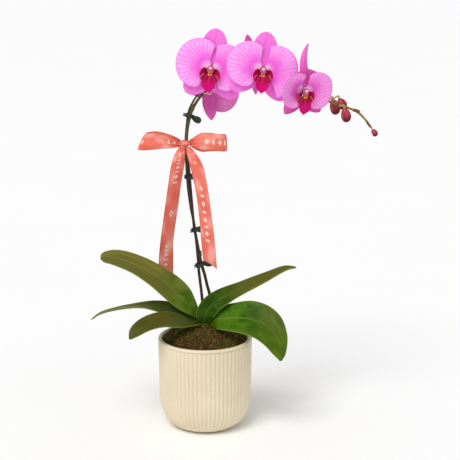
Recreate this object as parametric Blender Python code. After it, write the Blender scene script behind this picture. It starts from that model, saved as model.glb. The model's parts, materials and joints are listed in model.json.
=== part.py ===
"""Potted moth orchid: ribbed ceramic pot, bark mix and moss, five leaves, an arching flower spike
clipped to a bent stake, a tied ribbon bow, five open flowers and four buds.

World frame: +Z up, the display side faces -Y, +X is to its right, origin at the centre of the
pot's foot. Shapes listed in millimetres are multiplied by MM. Everything that grows is placed from
`plant`, the point where the crown meets the moss, so it follows the pot's height.
"""

import math

import bmesh
import bpy
from mathutils import Matrix, Vector

MM = 0.001
GAP = 0.3 * MM  # clearance between pieces that touch

# Pot
POT_HEIGHT = 137 * MM
POT_RADIUS = 70.2 * MM  # over the ribs, just under the rim
POT_TAPER = 1.5 * MM  # narrower than that where the rounded foot begins
POT_WALL = 6.4 * MM
POT_FLOOR = 8 * MM
POT_ROUNDING = 32.7 * MM  # from there in to the flat foot
FOOT_ROUND = 46 * MM  # height of the rounded part above the foot
INNER_BEND = 0.38 * FOOT_ROUND  # height where the inside turns in towards the floor
RIM_BAND = 4 * MM  # smooth band above the ribs
RIB_COUNT = 66
RIB_DEPTH = 1.1 * MM
POT_LOW_RADIUS = POT_RADIUS - POT_TAPER
FOOT_RADIUS = POT_LOW_RADIUS - POT_ROUNDING

# Growing mix and moss
MIX_BELOW_RIM = 25 * MM
MOSS_SIDE_GAP = 3.6 * MM  # from the pot's inner wall
MOSS_SHIFT = 2.2 * MM  # the mound sits a little to the right
MOSS_EDGE_BELOW_RIM = 8 * MM
MOUND_RISE = 18 * MM  # crown of the mound above the rim

# Plant
LEAF_THICK = 1.8 * MM
LEAF_CHANNEL = 0.16  # how far the edges rise, as a share of the half width
TEPAL_THICK = 0.8 * MM
COLUMN_RADIUS = 3.0 * MM
SEPAL_BACK = TEPAL_THICK + 3 * GAP  # sepals sit this far behind the petals
SEPAL_LAYER = TEPAL_THICK + 5 * GAP / 3  # one lateral sepal sits this far behind the other
PEDICEL_RADIUS = 1.3 * MM
CROWN_RADIUS = 6.5 * MM
CROWN_HEIGHT = 15 * MM
CROWN_DEPTH = 6 * MM  # part of it that is sunk in the moss
CROWN_PLACE = (-2 * MM, 5 * MM)
LEAF_FEET = 6.5 * MM  # radius of the crown that the leaves' middle lines are drawn round

# Stake, clips and ribbon
STAKE_RADIUS = 2.2 * MM
STAKE_TIP_RADIUS = 1.1 * MM
STAKE_BURIED = 80 * MM  # below the crown
CLIP_WALL = 1.2 * MM
CLIP_HEIGHT = 5 * MM
CLIP_ROOM_DEEP, CLIP_ROOM_WIDE = 1.32, 1.48  # room round the stems in a clip, in stem radii
RIBBON_WIDTH = 25 * MM
RIBBON_DRAWN = 25 * MM  # width that the ribbon's middle lines are drawn for
RIBBON_THICK = 0.8 * MM
KNOT_SIZE = (13 * MM, 15 * MM, 10 * MM)

for obj in list(bpy.data.objects):
    bpy.data.objects.remove(obj, do_unlink=True)

plant = Vector((0, 0, POT_HEIGHT + MOUND_RISE))


# Materials

def finish(name, color, roughness, metallic=0.0):
    made = bpy.data.materials.new(name)
    made.use_nodes = True
    shader = made.node_tree.nodes["Principled BSDF"]
    shader.inputs["Base Color"].default_value = (*color, 1)
    shader.inputs["Roughness"].default_value = roughness
    shader.inputs["Metallic"].default_value = metallic
    made.diffuse_color = (*color, 1)
    return made


finishes = {
    "cream_glaze": finish("cream_glaze", (0.80, 0.70, 0.52), 0.45),
    "bark_mix": finish("bark_mix", (0.09, 0.05, 0.03), 0.95),
    "moss": finish("moss", (0.10, 0.09, 0.03), 1.0),
    "leaf": finish("leaf", (0.10, 0.19, 0.03), 0.45),
    "stem": finish("stem", (0.16, 0.18, 0.05), 0.5),
    "stake": finish("stake", (0.07, 0.02, 0.02), 0.4),
    "clip": finish("clip", (0.02, 0.05, 0.03), 0.35),
    "ribbon": finish("ribbon", (0.85, 0.24, 0.17), 0.4),
    "petal": finish("petal", (0.86, 0.33, 0.80), 0.5),
    "lip": finish("lip", (0.65, 0.01, 0.20), 0.4),
    "column": finish("column", (0.85, 0.55, 0.70), 0.45),
    "bud": finish("bud", (0.42, 0.12, 0.12), 0.45),
}


# Shape helpers

def object_of(name, bm, material):
    """Closes the bmesh into a named, smooth shaded object."""
    mesh = bpy.data.meshes.new(name)
    bm.to_mesh(mesh)
    bm.free()
    mesh.materials.append(finishes[material])
    mesh.shade_smooth()
    mesh.set_sharp_from_angle(angle=math.radians(40))
    made = bpy.data.objects.new(name, mesh)
    bpy.context.scene.collection.objects.link(made)
    return made


def as_helper(made):
    """A cutter or a piece to be joined: it is no part of the object by itself."""
    made.hide_render = True
    made.display_type = "WIRE"
    return made


def boolean(target, operation, other):
    step = target.modifiers.new(other.name, "BOOLEAN")
    step.operation = operation
    step.solver = "EXACT"
    step.object = as_helper(other)


def thicken(sheet, thickness):
    step = sheet.modifiers.new("thickness", "SOLIDIFY")
    step.thickness = thickness
    step.offset = 0
    return sheet


def smooth_rows(rows, count):
    """`count` rows along one smooth curve through the given rows of numbers."""
    rows = [Vector(row) for row in rows]
    rows = [rows[0] * 2 - rows[1], *rows, rows[-1] * 2 - rows[-2]]
    spans = len(rows) - 3
    made = []
    for step in range(count):
        place = spans * step / (count - 1)
        i = min(int(place), spans - 1)
        t = place - i
        a, b, c, d = rows[i:i + 4]
        made.append(((b * 2) + (c - a) * t + (a * 2 - b * 5 + c * 4 - d) * t ** 2
                     + (b * 3 - a - c * 3 + d) * t ** 3) / 2)
    return made


def directions(points):
    """Unit direction of travel at each point."""
    last = len(points) - 1
    return [(points[min(i + 1, last)] - points[max(i - 1, 0)]).normalized() for i in range(last + 1)]


def rings_to_solid(bm, rings):
    """Joins closed rings of points, in order, and closes both ends."""
    rows = [[bm.verts.new(point) for point in ring] for ring in rings]
    count = len(rows[0])
    for low, high in zip(rows, rows[1:]):
        for i in range(count):
            j = (i + 1) % count
            bm.faces.new((low[i], low[j], high[j], high[i]))
    bm.faces.new(rows[0][::-1])
    bm.faces.new(rows[-1])
    bmesh.ops.recalc_face_normals(bm, faces=bm.faces)


def turned(name, profile, segments, material, center=(0, 0)):
    """A solid turned round a vertical axis; the profile runs from one pole to the other."""
    bm = bmesh.new()
    rings = []
    for radius, height in profile:
        rings.append([
            (center[0] + radius * math.cos(2 * math.pi * i / segments),
             center[1] + radius * math.sin(2 * math.pi * i / segments), height)
            for i in range(segments)
        ])
    rings_to_solid(bm, rings)
    return object_of(name, bm, material)


def tube(name, centers, radii, sides, material):
    """A round stem along `centers`, as wide as `radii` at each."""
    bm = bmesh.new()
    side = None
    rings = []
    for center, way, radius in zip(centers, directions(centers), radii):
        if side is None:
            side = way.orthogonal()
        side = (side - way * side.dot(way)).normalized()
        other = way.cross(side)
        rings.append([
            center + (side * math.cos(a) + other * math.sin(a)) * radius
            for a in (2 * math.pi * i / sides for i in range(sides))
        ])
    rings_to_solid(bm, rings)
    return object_of(name, bm, material)


def ellipsoid(name, center, radii, material, turn=None, segments=12, rows=8):
    bm = bmesh.new()
    bmesh.ops.create_uvsphere(bm, u_segments=segments, v_segments=rows, radius=1)
    place = Matrix.Translation(center) @ (turn or Matrix()) @ Matrix.Diagonal((*radii, 1))
    bm.transform(place)
    return object_of(name, bm, material)


def sheet(name, point_at, across, along, material, thickness):
    """A thin solid whose middle surface is point_at(s, t): s from -1 to 1 across, t from 0 to 1 along."""
    bm = bmesh.new()
    rows = [
        [bm.verts.new(point_at(2 * i / across - 1, j / along)) for i in range(across + 1)]
        for j in range(along + 1)
    ]
    for low, high in zip(rows, rows[1:]):
        for i in range(across):
            bm.faces.new((low[i], low[i + 1], high[i + 1], high[i]))
    return thicken(object_of(name, bm, material), thickness)


def at(x, y, z):
    """A point given in millimetres from the crown."""
    return plant + Vector((x, y, z)) * MM


# Pot, mix and moss

def outer_radius(height):
    """The pot's outside, over the ribs: a slight taper, then a rounded foot."""
    if height >= FOOT_ROUND:
        share = (height - FOOT_ROUND) / (POT_HEIGHT - FOOT_ROUND)
        return POT_LOW_RADIUS + (POT_RADIUS - POT_LOW_RADIUS) * share
    drop = 1 - height / FOOT_ROUND
    return FOOT_RADIUS + (POT_LOW_RADIUS - FOOT_RADIUS) * math.sqrt(1 - drop ** 2)


def inner_radius(height):
    return outer_radius(height) - POT_WALL


def make_pot():
    rib_top = POT_HEIGHT - RIM_BAND
    foot_heights = [FOOT_ROUND * (1 - math.sin(math.radians(a))) for a in (90, 74, 52, 28, 0)]
    rows = [(FOOT_RADIUS, 0, 0)]
    for height in foot_heights[1:]:
        share = height / FOOT_ROUND  # the ribs fade out towards the foot
        rows.append((outer_radius(height), height, RIB_DEPTH * min(1, share * 2)))
    rows += [
        (outer_radius(rib_top - RIM_BAND / 3), rib_top - RIM_BAND / 3, RIB_DEPTH),
        (outer_radius(rib_top), rib_top, 0),
        (POT_RADIUS, POT_HEIGHT - POT_WALL / 4, 0),
        (POT_RADIUS - POT_WALL / 2, POT_HEIGHT, 0),
        (inner_radius(POT_HEIGHT), POT_HEIGHT - POT_WALL / 4, 0),
        (inner_radius(FOOT_ROUND), FOOT_ROUND, 0),
        (inner_radius(INNER_BEND), INNER_BEND, 0),
        (FOOT_RADIUS, POT_FLOOR, 0),
    ]
    bm = bmesh.new()
    rings = []
    for radius, height, depth in rows:
        ring = []
        for i in range(2 * RIB_COUNT):
            angle = math.pi * i / RIB_COUNT
            here = radius - depth * (i % 2)
            ring.append((here * math.cos(angle), here * math.sin(angle), height))
        rings.append(ring)
    rings_to_solid(bm, rings)
    return object_of("pot", bm, "cream_glaze")


def moss_height(radius, edge_radius):
    """Top of the mound: highest at the crown, lowest at its edge."""
    edge = POT_HEIGHT - MOSS_EDGE_BELOW_RIM
    return edge + (plant.z - edge) * (1 - (radius / edge_radius) ** 1.7)


def make_fillings():
    mix_top = POT_HEIGHT - MIX_BELOW_RIM
    heights = [INNER_BEND, FOOT_ROUND, mix_top]
    profile = [(FOOT_RADIUS - 2 * GAP, POT_FLOOR + GAP)]
    # the chords of the pot's faceted inside lie inside its circle, so the mix keeps clear of them
    profile += [(inner_radius(height) - 2 * GAP, height) for height in heights]
    mix = turned("potting_mix", profile, 48, "bark_mix")

    edge_radius = inner_radius(mix_top) - MOSS_SIDE_GAP
    profile = [(edge_radius - MOSS_SHIFT, mix_top + GAP)]
    profile += [
        (edge_radius * share, moss_height(edge_radius * share, edge_radius))
        for share in (1.0, 0.93, 0.8, 0.62, 0.42, 0.2, 0.04)
    ]
    moss = turned("moss", profile, 28, "moss", center=(MOSS_SHIFT, 0))
    return mix, moss


# Crown and leaves

def crown_profile(grow=0.0):
    """Short stem: straight in the moss, rounded on top. `grow` widens it for a cutter."""
    low = plant.z - CROWN_DEPTH
    top = plant.z + CROWN_HEIGHT
    rows = [(CROWN_RADIUS * 0.8 + grow, low - grow), (CROWN_RADIUS + grow, plant.z)]
    for angle in (0, 30, 60, 84):
        rows.append((CROWN_RADIUS * math.cos(math.radians(angle)) * 0.97 + grow,
                     top - CROWN_RADIUS * (1 - math.sin(math.radians(angle))) + grow))
    return rows


# Each leaf: middle line (x, y, z from the crown), half width, and the way its face leans, in degrees
# from straight up towards the display side.
leaves = {
    "leaf_upper_left": [
        (-10.6, 3, 9, 3, 50), (-17, 2, 20, 9, 45), (-27, 1, 32, 16, 38), (-42, 2, 47, 22, 30),
        (-68, 6, 67, 24, 22), (-98, 10, 86, 23, 20), (-128, 14, 98, 16, 22), (-148, 16, 101, 7, 24),
        (-154, 16, 99, 1.5, 24)],
    "leaf_middle_left": [
        (-9.9, 5, 3.5, 3, 20), (-22, 5.5, 11.5, 9, 18), (-42, 4, 21, 14.5, 12), (-68, 0, 26, 18, 6),
        (-96, -4, 28.5, 20, -5), (-126, -9, 27, 17, -10), (-152, -13, 21.5, 10, -11),
        (-168, -15, 12, 1.5, -6)],
    "leaf_lower_left": [
        (-6.9, -0.2, 1.5, 2.6, 12), (-18, -12, 5, 8, 12), (-38, -25, 10.5, 15, 12), (-64, -37, 14.5, 18, 14),
        (-85, -47.5, 11.5, 15.5, 20), (-100, -54, 3, 9.5, 28), (-108, -58, -6, 1.5, 30)],
    "leaf_upper_right": [
        (-1, -3.4, 4, 9, 88), (1, -5.5, 18, 14, 76), (11, -2, 32, 15, 54), (31, 6, 42, 16.5, 30),
        (58, 16, 52, 14, 14), (90, 27, 64, 12, 9), (120, 36, 76, 9, 8), (137, 41, 77, 1.5, 15)],
    "leaf_lower_right": [
        (9.4, -3, 4, 7, 50), (20, -10, 12, 18, 47), (42, -19, 16, 25, 45), (66, -29, 17.5, 29, 43),
        (87, -40, 11, 27, 42), (101, -50, -4, 20.5, 40), (109, -58, -24, 10.5, 38), (111, -61, -36, 1.5, 36)],
}


def leaf_surface(stations):
    """The point on a leaf: s across from the left edge to the right one, t from the base to the tip."""
    count = 41
    rows = smooth_rows(stations, count)
    outward = at(*stations[0][:2], 0) - at(0, 0, 0) - Vector((*CROWN_PLACE, 0))
    outward = outward.normalized() * (CROWN_RADIUS - LEAF_FEET)
    middle = [at(*row[:3]) + outward for row in rows]
    ways = directions(middle)

    def point(s, t):
        i = round(t * (count - 1))
        half, lean = rows[i][3] * MM, math.radians(rows[i][4])
        face = Vector((0, -math.sin(lean), math.cos(lean)))
        side = ways[i].cross(face).normalized()
        face = side.cross(ways[i])
        rise = LEAF_CHANNEL * half * s ** 2
        return middle[i] + side * half * s * -1 + face * rise

    return point


def make_crown_and_leaves(moss):
    crown = turned("crown", crown_profile(), 16, "stem", center=CROWN_PLACE)
    boolean(moss, "DIFFERENCE", turned("crown_hole", crown_profile(GAP), 16, "moss", center=CROWN_PLACE))
    for name, stations in leaves.items():
        sheet(name, leaf_surface(stations), 4, 10, "leaf", LEAF_THICK)
    return crown


# Spike, stake and clips

SPIKE = [  # x, y, z from the crown, radius
    (0, 8, 17.5, 2.4), (5.5, 11, 28, 2.4), (7, 13, 41, 2.4), (3, 12.5, 58, 2.3), (-1, 11, 76, 2.3),
    (-6, 10, 93, 2.6), (-9, 10, 111, 2.2), (-13, 10, 133, 2.2), (-17, 10, 160, 2.1), (-20, 10, 176, 2.1),
    (-24, 10, 208, 2.1), (-26, 10, 246, 2.1), (-25, 10, 283, 2.0), (-22, 10, 303, 2.0),
    (-18, 10, 318, 2.3), (-9, 10, 334, 2.0), (3, 10, 347, 2.0), (20, 11, 361, 2.0), (50, 13, 371, 1.9),
    (85, 14, 370, 1.8), (120, 14, 359, 1.8), (150, 13, 346, 1.7), (181, 12, 331, 1.7),
    (209, 10, 322, 1.6), (223, 9, 315, 1.7), (237, 7, 300, 1.2), (241.8, 6.2, 293.2, 1.2)]
STAKE = [  # x, y, z from the crown
    (-3, 15.5, 10), (-5, 15.2, 41), (-9, 15, 77), (-10, 15, 94), (-13, 15, 128), (-16, 15, 147),
    (-19, 15, 185), (-23, 15, 235), (-27, 15, 270), (-25, 15, 300), (-22, 14.8, 318),
    (-16, 14.5, 331), (-9, 14.3, 341), (2, 14.3, 350)]

CLIPS = {  # height above the crown and turn round the stems, in degrees
    "clip_top": (311, 0), "clip_upper": (222, -60), "clip_lower": (142, -50), "clip_bottom": (89, -15)}


def spike_rows(count=58):
    return smooth_rows(SPIKE, count)


def height_on(rows, height):
    """The first point of a rising curve that is at this height above the crown, in mm, and its direction."""
    for low, high in zip(rows, rows[1:]):
        if low[2] <= height < high[2]:
            share = (height - low[2]) / (high[2] - low[2])
            return low + (high - low) * share, Vector((high - low)[:3]).normalized()
    raise ValueError(f"no point at {height}")


def make_stake(mix, moss):
    rows = smooth_rows(STAKE, 27)
    centers = [at(*row) for row in rows]
    low = centers[0] - Vector((0, 0, STAKE_BURIED))
    count = len(centers)
    centers = [low, *centers]
    radii = [STAKE_RADIUS] + [
        STAKE_RADIUS + (STAKE_TIP_RADIUS - STAKE_RADIUS) * (i / count) ** 2 for i in range(count)]
    stake = tube("support_stake", centers, radii, 8, "stake")
    for filling in (mix, moss):
        hole = [low - Vector((0, 0, GAP)), *centers[1:4]]
        finish_name = filling.data.materials[0].name
        boolean(filling, "DIFFERENCE",
                tube(filling.name + "_stake_hole", hole, [STAKE_RADIUS + GAP] * 4, 12, finish_name))
    return stake


def oval(name, frame, wide, deep, height, count=14):
    """An oval block in the clip's own frame, whose third axis runs along the stems."""
    bm = bmesh.new()
    angles = [2 * math.pi * i / count for i in range(count)]
    rings_to_solid(bm, [
        [frame @ Vector((math.cos(a) * wide, math.sin(a) * deep, level * height)) for a in angles]
        for level in (-0.5, 0.5)])
    return object_of(name, bm, "clip")


def make_clip(name, height, turn):
    """A claw clip round spike and stake: an oval collar, a thumb paddle and three teeth."""
    spike, along = height_on(spike_rows(), height)
    stake, _ = height_on(smooth_rows(STAKE, 27), height)
    stem_radius = max(spike[3] * MM, STAKE_RADIUS)
    middle = (at(*spike[:3]) + at(*stake[:3])) / 2
    apart = at(*spike[:3]) - at(*stake[:3])
    deep = abs(apart.y) / 2 + stem_radius * CLIP_ROOM_DEEP + GAP
    wide = abs(apart.x) / 2 + stem_radius * CLIP_ROOM_WIDE + GAP
    side = Vector((1, 0, 0))
    side = (side - along * side.dot(along)).normalized()
    front = side.cross(along)
    frame = Matrix.Translation(middle) @ Matrix((
        (side.x, front.x, along.x, 0), (side.y, front.y, along.y, 0),
        (side.z, front.z, along.z, 0), (0, 0, 0, 1)))
    clip = oval(name, frame, wide + CLIP_WALL, deep + CLIP_WALL, CLIP_HEIGHT)
    inside = oval(name + "_inside", frame, wide, deep, CLIP_HEIGHT * 1.4)
    frame = frame @ Matrix.Rotation(math.radians(turn), 4, "Z")
    reach = max(wide, deep) + CLIP_WALL
    paddle = ellipsoid(name + "_paddle", (0, 0, 0), (6.5 * MM, 1.6 * MM, 4.6 * MM), "clip",
                       segments=10, rows=6)
    paddle.data.transform(frame @ Matrix.Translation((reach + 4 * MM, 0, 0)) @ Matrix.Rotation(
        math.radians(12), 4, "Y"))
    boolean(clip, "UNION", paddle)
    for row in (-1, 0, 1):
        tooth = ellipsoid(name + f"_tooth_{row + 1}", (0, 0, 0), (2.4 * MM, 1.1 * MM, 0.8 * MM), "clip",
                          segments=6, rows=4)
        tooth.data.transform(frame @ Matrix.Translation((-reach - 1 * MM, 0, row * CLIP_HEIGHT / 3)))
        boolean(clip, "UNION", tooth)
    boolean(clip, "DIFFERENCE", inside)
    return clip


# Flowers

# center: x, y, z from the crown. yaw, pitch and roll in degrees: to its right, up, clockwise.
# blades (sepals): angle clockwise from up, length, half width, place of the widest part, bend back, fold
# fans (petals): angle, half spread, length, narrowing of the edges and how sudden, skew, cup forward
# lip: half width of the side lobes, length of the middle lobe, depth of the side lobes
flowers = {
    "flower_a": dict(
        center=(10.4, -10, 380.6), yaw=-4, pitch=2, roll=8, root=(8, 11, 351),
        dorsal_sepal=(0, 57, 19, 0.95, 3, 0.1), left_lateral_sepal=(-140, 50, 17, 1.0, 5, 0.1),
        right_lateral_sepal=(131, 54, 17, 1.0, 5, 0.1),
        left_petal=(-77, 77, 51, 0.4, 2.4, 0.06, 4), right_petal=(79, 73, 50, 0.38, 2.4, -0.05, 2),
        lip=(15.5, 34, 11)),
    "flower_b": dict(
        center=(83.4, -24, 380.6), yaw=4, pitch=2, roll=6, root=(76, 13.7, 370.5),
        dorsal_sepal=(0, 53, 18, 0.95, 3, 0.1), left_lateral_sepal=(-127, 52, 14, 1.0, 5, 0.1),
        right_lateral_sepal=(139, 53, 15, 1.0, 5, 0.1),
        left_petal=(-77, 72, 52, 0.46, 2.4, 0.05, 4), right_petal=(70, 62, 50, 0.18, 2.2, 0.3, 4),
        lip=(15, 33, 11)),
    "flower_c": dict(
        center=(140.4, -36, 353), yaw=20, pitch=-8, roll=4, root=(132, 13.6, 354),
        dorsal_sepal=(5, 63, 8, 0.6, 16, 0.8), left_lateral_sepal=(-148, 42, 12, 1.0, 3, 0.2),
        right_lateral_sepal=(128, 42, 12, 1.0, 3, 0.2),
        left_petal=(-77, 72, 40, 0.44, 2.4, 0, 20), right_petal=(80, 75, 42, 0.5, 2.4, 0, 7),
        lip=(10.5, 32, 12)),
    "flower_d": dict(
        center=(5.5, 32, 350), yaw=184, pitch=-10, roll=-25, root=(20, 11, 361),
        dorsal_sepal=(0, 44, 15, 0.95, 2, 0.1), left_lateral_sepal=(-150, 48, 11, 0.85, 3, 0.4),
        right_lateral_sepal=(140, 25, 9, 1.0, 3, 0.1),
        left_petal=(-88, 66, 47, 0.44, 2.4, 0, 5), right_petal=(84, 66, 30, 0.44, 2.4, 0, 5),
        lip=(11, 24, 8)),
    "flower_e": dict(
        center=(69, 34, 383.2), yaw=176, pitch=0, roll=6, root=(64, 13.3, 371.3),
        dorsal_sepal=(3, 43, 8, 0.9, 2, 0.2), left_lateral_sepal=(-178, 44, 5.5, 1.0, 2, 0.2),
        right_lateral_sepal=(140, 34, 11, 1.0, 3, 0.1),
        left_petal=(-84, 60, 32, 0.44, 2.4, 0, 5), right_petal=(78, 60, 32, 0.44, 2.4, 0, 5),
        lip=(10, 20, 8)),
}
PETAL_THROAT = 0.6 * MM  # from the column to the inner edge of sepals, petals and lip
COLUMN_LENGTH = 9 * MM
COLUMN_BACK = SEPAL_BACK + SEPAL_LAYER + 1.2 * MM  # the seat reaches behind the last sepal
LIP_FORWARD = 2.6 * MM


def flower_frame(spec):
    """Turns (right, up, forward) of a flower into the world."""
    yaw, pitch, roll = (math.radians(spec[key]) for key in ("yaw", "pitch", "roll"))
    face = Vector((math.sin(yaw) * math.cos(pitch), -math.cos(yaw) * math.cos(pitch), math.sin(pitch)))
    up = Vector((-math.sin(yaw) * math.sin(pitch), math.cos(yaw) * math.sin(pitch), math.cos(pitch)))
    right = up.cross(face)
    up, right = (up * math.cos(roll) + right * math.sin(roll),
                 right * math.cos(roll) - up * math.sin(roll))
    center = at(*spec["center"])

    def place(x, y, forward):
        return center + right * x + up * y + face * forward

    return place


def blade(place, layer, angle, length, half, widest, back, fold):
    """A sepal: an oval blade behind the petals, narrow at its foot."""
    turn = math.radians(angle)
    start = COLUMN_RADIUS + PETAL_THROAT

    def point(s, t):
        along = start + (length * MM - start) * t
        across = s * max(half * MM * math.sin(math.pi * (0.04 + 0.96 * t) ** widest) ** 0.62, 1.2 * MM)
        across *= min(1, 0.3 + 2.8 * t)
        forward = -SEPAL_BACK - layer * SEPAL_LAYER - back * MM * t ** 2 - fold * abs(across) * t
        return place(along * math.sin(turn) + across * math.cos(turn),
                     along * math.cos(turn) - across * math.sin(turn), forward)

    return point


def fan(place, angle, spread, length, narrowing, sudden, skew, cup):
    """A petal: a broad fan on a narrow claw, cupped forward towards its outer edge."""
    start = COLUMN_RADIUS + PETAL_THROAT

    def point(s, t):
        turn = math.radians(angle + s * spread * (0.35 + 0.65 * t ** 0.6))
        edge = length * MM * (1 - narrowing * abs(s - skew) ** sudden)
        along = start + (edge - start) * t
        forward = cup * MM * t ** 2 * (1 - 0.4 * s ** 2)
        return place(along * math.sin(turn), along * math.cos(turn), forward)

    return point


def lip_surface(place, side, middle, depth):
    """The lip: two raised side lobes and a pointed middle lobe, in one cupped sheet."""
    start = COLUMN_RADIUS + PETAL_THROAT

    def point(s, t):
        turn = math.radians(180 + s * 112 * (0.45 + 0.55 * t ** 0.5))
        edge = (side + (middle - side) * math.exp(-(s / 0.3) ** 2)) * MM * (1 - 0.25 * s ** 4)
        along = start + (edge - start) * t
        rise = 0.35 + 0.65 * abs(s) ** 1.2
        forward = LIP_FORWARD + depth * MM * rise * math.sin(math.radians(110) * t)
        return place(along * math.sin(turn), along * math.cos(turn), forward)

    return point


def make_column(name, place, material):
    """The seat that the petals spring from, and the column with its rounded cap."""
    bm = bmesh.new()
    rings = []
    stations = (  # place along it, share of its radius, drop of its middle
        (-COLUMN_BACK, 0.7, 0), (-COLUMN_BACK + 0.8 * MM, 1, 0), (COLUMN_LENGTH * 0.5, 0.95, 0),
        (COLUMN_LENGTH * 0.85, 1, 0.3), (COLUMN_LENGTH, 0.75, 0.5), (COLUMN_LENGTH + 1 * MM, 0.35, 0.6))
    for forward, share, drop in stations:
        radius = COLUMN_RADIUS * share
        rings.append([
            place(radius * math.cos(a), radius * math.sin(a) - drop * MM, forward)
            for a in (2 * math.pi * i / 10 for i in range(10))])
    rings_to_solid(bm, rings)
    return object_of(name, bm, material)


def make_flower(name, spec):
    place = flower_frame(spec)
    for sepal, layer in (("dorsal_sepal", 0), ("left_lateral_sepal", 0), ("right_lateral_sepal", 1)):
        sheet(f"{name}_{sepal}", blade(place, layer, *spec[sepal]), 4, 5, "petal", TEPAL_THICK)
    for petal in ("left_petal", "right_petal"):
        sheet(f"{name}_{petal}", fan(place, *spec[petal]), 6, 4, "petal", TEPAL_THICK)
    column = make_column(f"{name}_column", place, "column")
    lip = sheet(f"{name}_lip", lip_surface(place, *spec["lip"]), 8, 4, "lip", TEPAL_THICK)
    return column, lip


# Buds and spike

BUDS = {  # center from the crown, half sizes, lean to the right in degrees, start of the stalk on the spike
    "bud_back_left": ((188.5, 21, 322.5), (7.4, 6.6, 11.5), -14, (172, 12.3, 335.5)),
    "bud_back_right": ((199.5, 30, 326), (6.8, 6.2, 8.8), 24, (176, 12.2, 333.5)),
    "bud_front": ((202.6, -2, 314), (7.2, 7.2, 10.6), -12, (192, 11.2, 327)),
    "bud_tip": ((245.2, 6, 287.4), (4.3, 4.3, 6), -30, None),
}
STALK_SEAT = 0.7 * MM  # from a stalk's end to the flower or bud on it


def bud_frame(center, lean):
    return Matrix.Translation(at(*center)) @ Matrix.Rotation(math.radians(lean), 4, "Y")


def make_bud(name, center, radii, lean):
    """An egg-shaped bud, fuller below its middle."""
    bm = bmesh.new()
    wide, deep, high = (r * MM for r in radii)
    rings = []
    for step in range(9):
        angle = math.pi * (step + 0.35) / 8.7
        swell = math.sin(angle) * (1 - 0.14 * math.cos(angle))
        rings.append([
            (wide * swell * math.cos(a), deep * swell * math.sin(a), high * math.cos(angle))
            for a in (2 * math.pi * i / 10 for i in range(10))])
    rings_to_solid(bm, rings)
    bm.transform(bud_frame(center, lean))
    return object_of(name, bm, "bud")


def stalk(name, start, middle, end, way_in):
    """A flower stalk from the spike to the back of a flower or the top of a bud."""
    points = [start, middle, end - way_in * 4 * MM, end]
    count = 8
    centers = smooth_rows(points, count)
    radii = [PEDICEL_RADIUS * (1 + 0.25 * abs(i / (count - 1) - 0.4)) for i in range(count)]
    return tube(name, centers, radii, 6, "stem")


def make_spike():
    rows = spike_rows()
    spike = tube("flower_spike", [at(*row[:3]) for row in rows], [row[3] * MM for row in rows], 8, "stem")
    for name, spec in flowers.items():
        place = flower_frame(spec)
        face = (place(0, 0, 1) - place(0, 0, 0)).normalized()
        end = place(0, 0, -COLUMN_BACK - STALK_SEAT)
        start = at(*spec["root"])
        middle = (start + end) / 2 + Vector((0, 0, 3 * MM))
        boolean(spike, "UNION", stalk(name + "_stalk", start, middle, end, face))
    for name, (center, radii, lean, root) in BUDS.items():
        if root is None:
            continue
        frame = bud_frame(center, lean)
        down = -(frame.to_3x3() @ Vector((0, 0, 1)))
        end = frame @ Vector((0, 0, radii[2] * MM + STALK_SEAT))
        start = at(*root)
        middle = (start + end) / 2 + Vector((0, 0, 1 * MM))
        boolean(spike, "UNION", stalk(name + "_stalk", start, middle, end, down))
    return spike


# Ribbon

KNOT_CENTER = (-28, 12, 271)
RIBBON_LOOPS = {  # route in plan from the front of the knot round to its back, and the height there
    "ribbon_loop_left": [
        (-34.4, 8.5, 271.5), (-48, 1, 274.5), (-66, -3, 277), (-85, -3, 275.5), (-92, 4, 274),
        (-85, 11, 275), (-66, 13, 276), (-48, 14, 274), (-34.4, 15.5, 271)],
    "ribbon_loop_right": [
        (-21.6, 8.5, 271.5), (-8, 1, 275), (8, -3, 276), (24, -3, 274), (33, 4, 273),
        (26, 11, 272), (10, 14, 271), (-8, 15, 270), (-21.6, 15.5, 271)],
}
RIBBON_TAILS = {  # middle line from the knot down, share of the full width, turn of the face to its left
    "ribbon_tail_left": [
        (-32, 7.2, 266.7, 0.26, 0), (-35, 3, 256, 0.64, 20), (-38.5, 1, 240, 0.96, 36), (-43, 1, 214, 1, 43),
        (-49, 6, 173, 1, 44), (-56, 18, 125, 1, 42), (-58.5, 32, 96, 1, 32), (-60, 39, 66, 1, 26)],
    "ribbon_tail_right": [
        (-24, 7, 266.9, 0.26, 0), (-17.5, 1, 255, 0.64, -20), (-10.5, -3, 238, 0.92, -34),
        (-3.5, -6, 205, 1, -40), (1.5, -7, 165, 1, -40), (5, -6, 130, 1, -38), (8, -5, 98, 1, -36)],
}
LOOP_GATHER = 0.34  # the loop is gathered to this share of its width at the knot
LOOP_OPENING = 0.8  # how far out it has its full width: a larger value is further out
TAIL_SLANT = 9 * MM  # the slanting cut at the end of the right tail


def loop_surface(route):
    count = 33
    middle = [at(*row) for row in smooth_rows(route, count)]

    def point(s, t):
        i = round(t * (count - 1))
        open_share = min(1.0, math.sin(math.pi * t) / LOOP_OPENING)
        half = RIBBON_WIDTH / 2 * (LOOP_GATHER + (1 - LOOP_GATHER) * open_share)
        return middle[i] + Vector((0, 0, -half * s))

    return point


def tail_surface(route, outer, slant):
    """A hanging end. A wider ribbon starts lower, and keeps clear of the spike above and the leaf below."""
    count = 31
    rows = smooth_rows(route, count)
    extra = (RIBBON_WIDTH - RIBBON_DRAWN) / 2
    middle = [at(*row[:3]) - Vector((0, 0, extra * LOOP_GATHER)) for row in rows]

    def point(s, t):
        i = round(t * (count - 1))
        turn = math.radians(rows[i][4])
        side = Vector((math.cos(turn), math.sin(turn), 0))
        across = rows[i][3] * (s * RIBBON_WIDTH / 2 + outer * extra * math.cos(math.pi * t))
        return middle[i] + side * across - Vector((0, 0, slant * (s + 1) / 2 * t ** 6))

    return point


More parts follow.
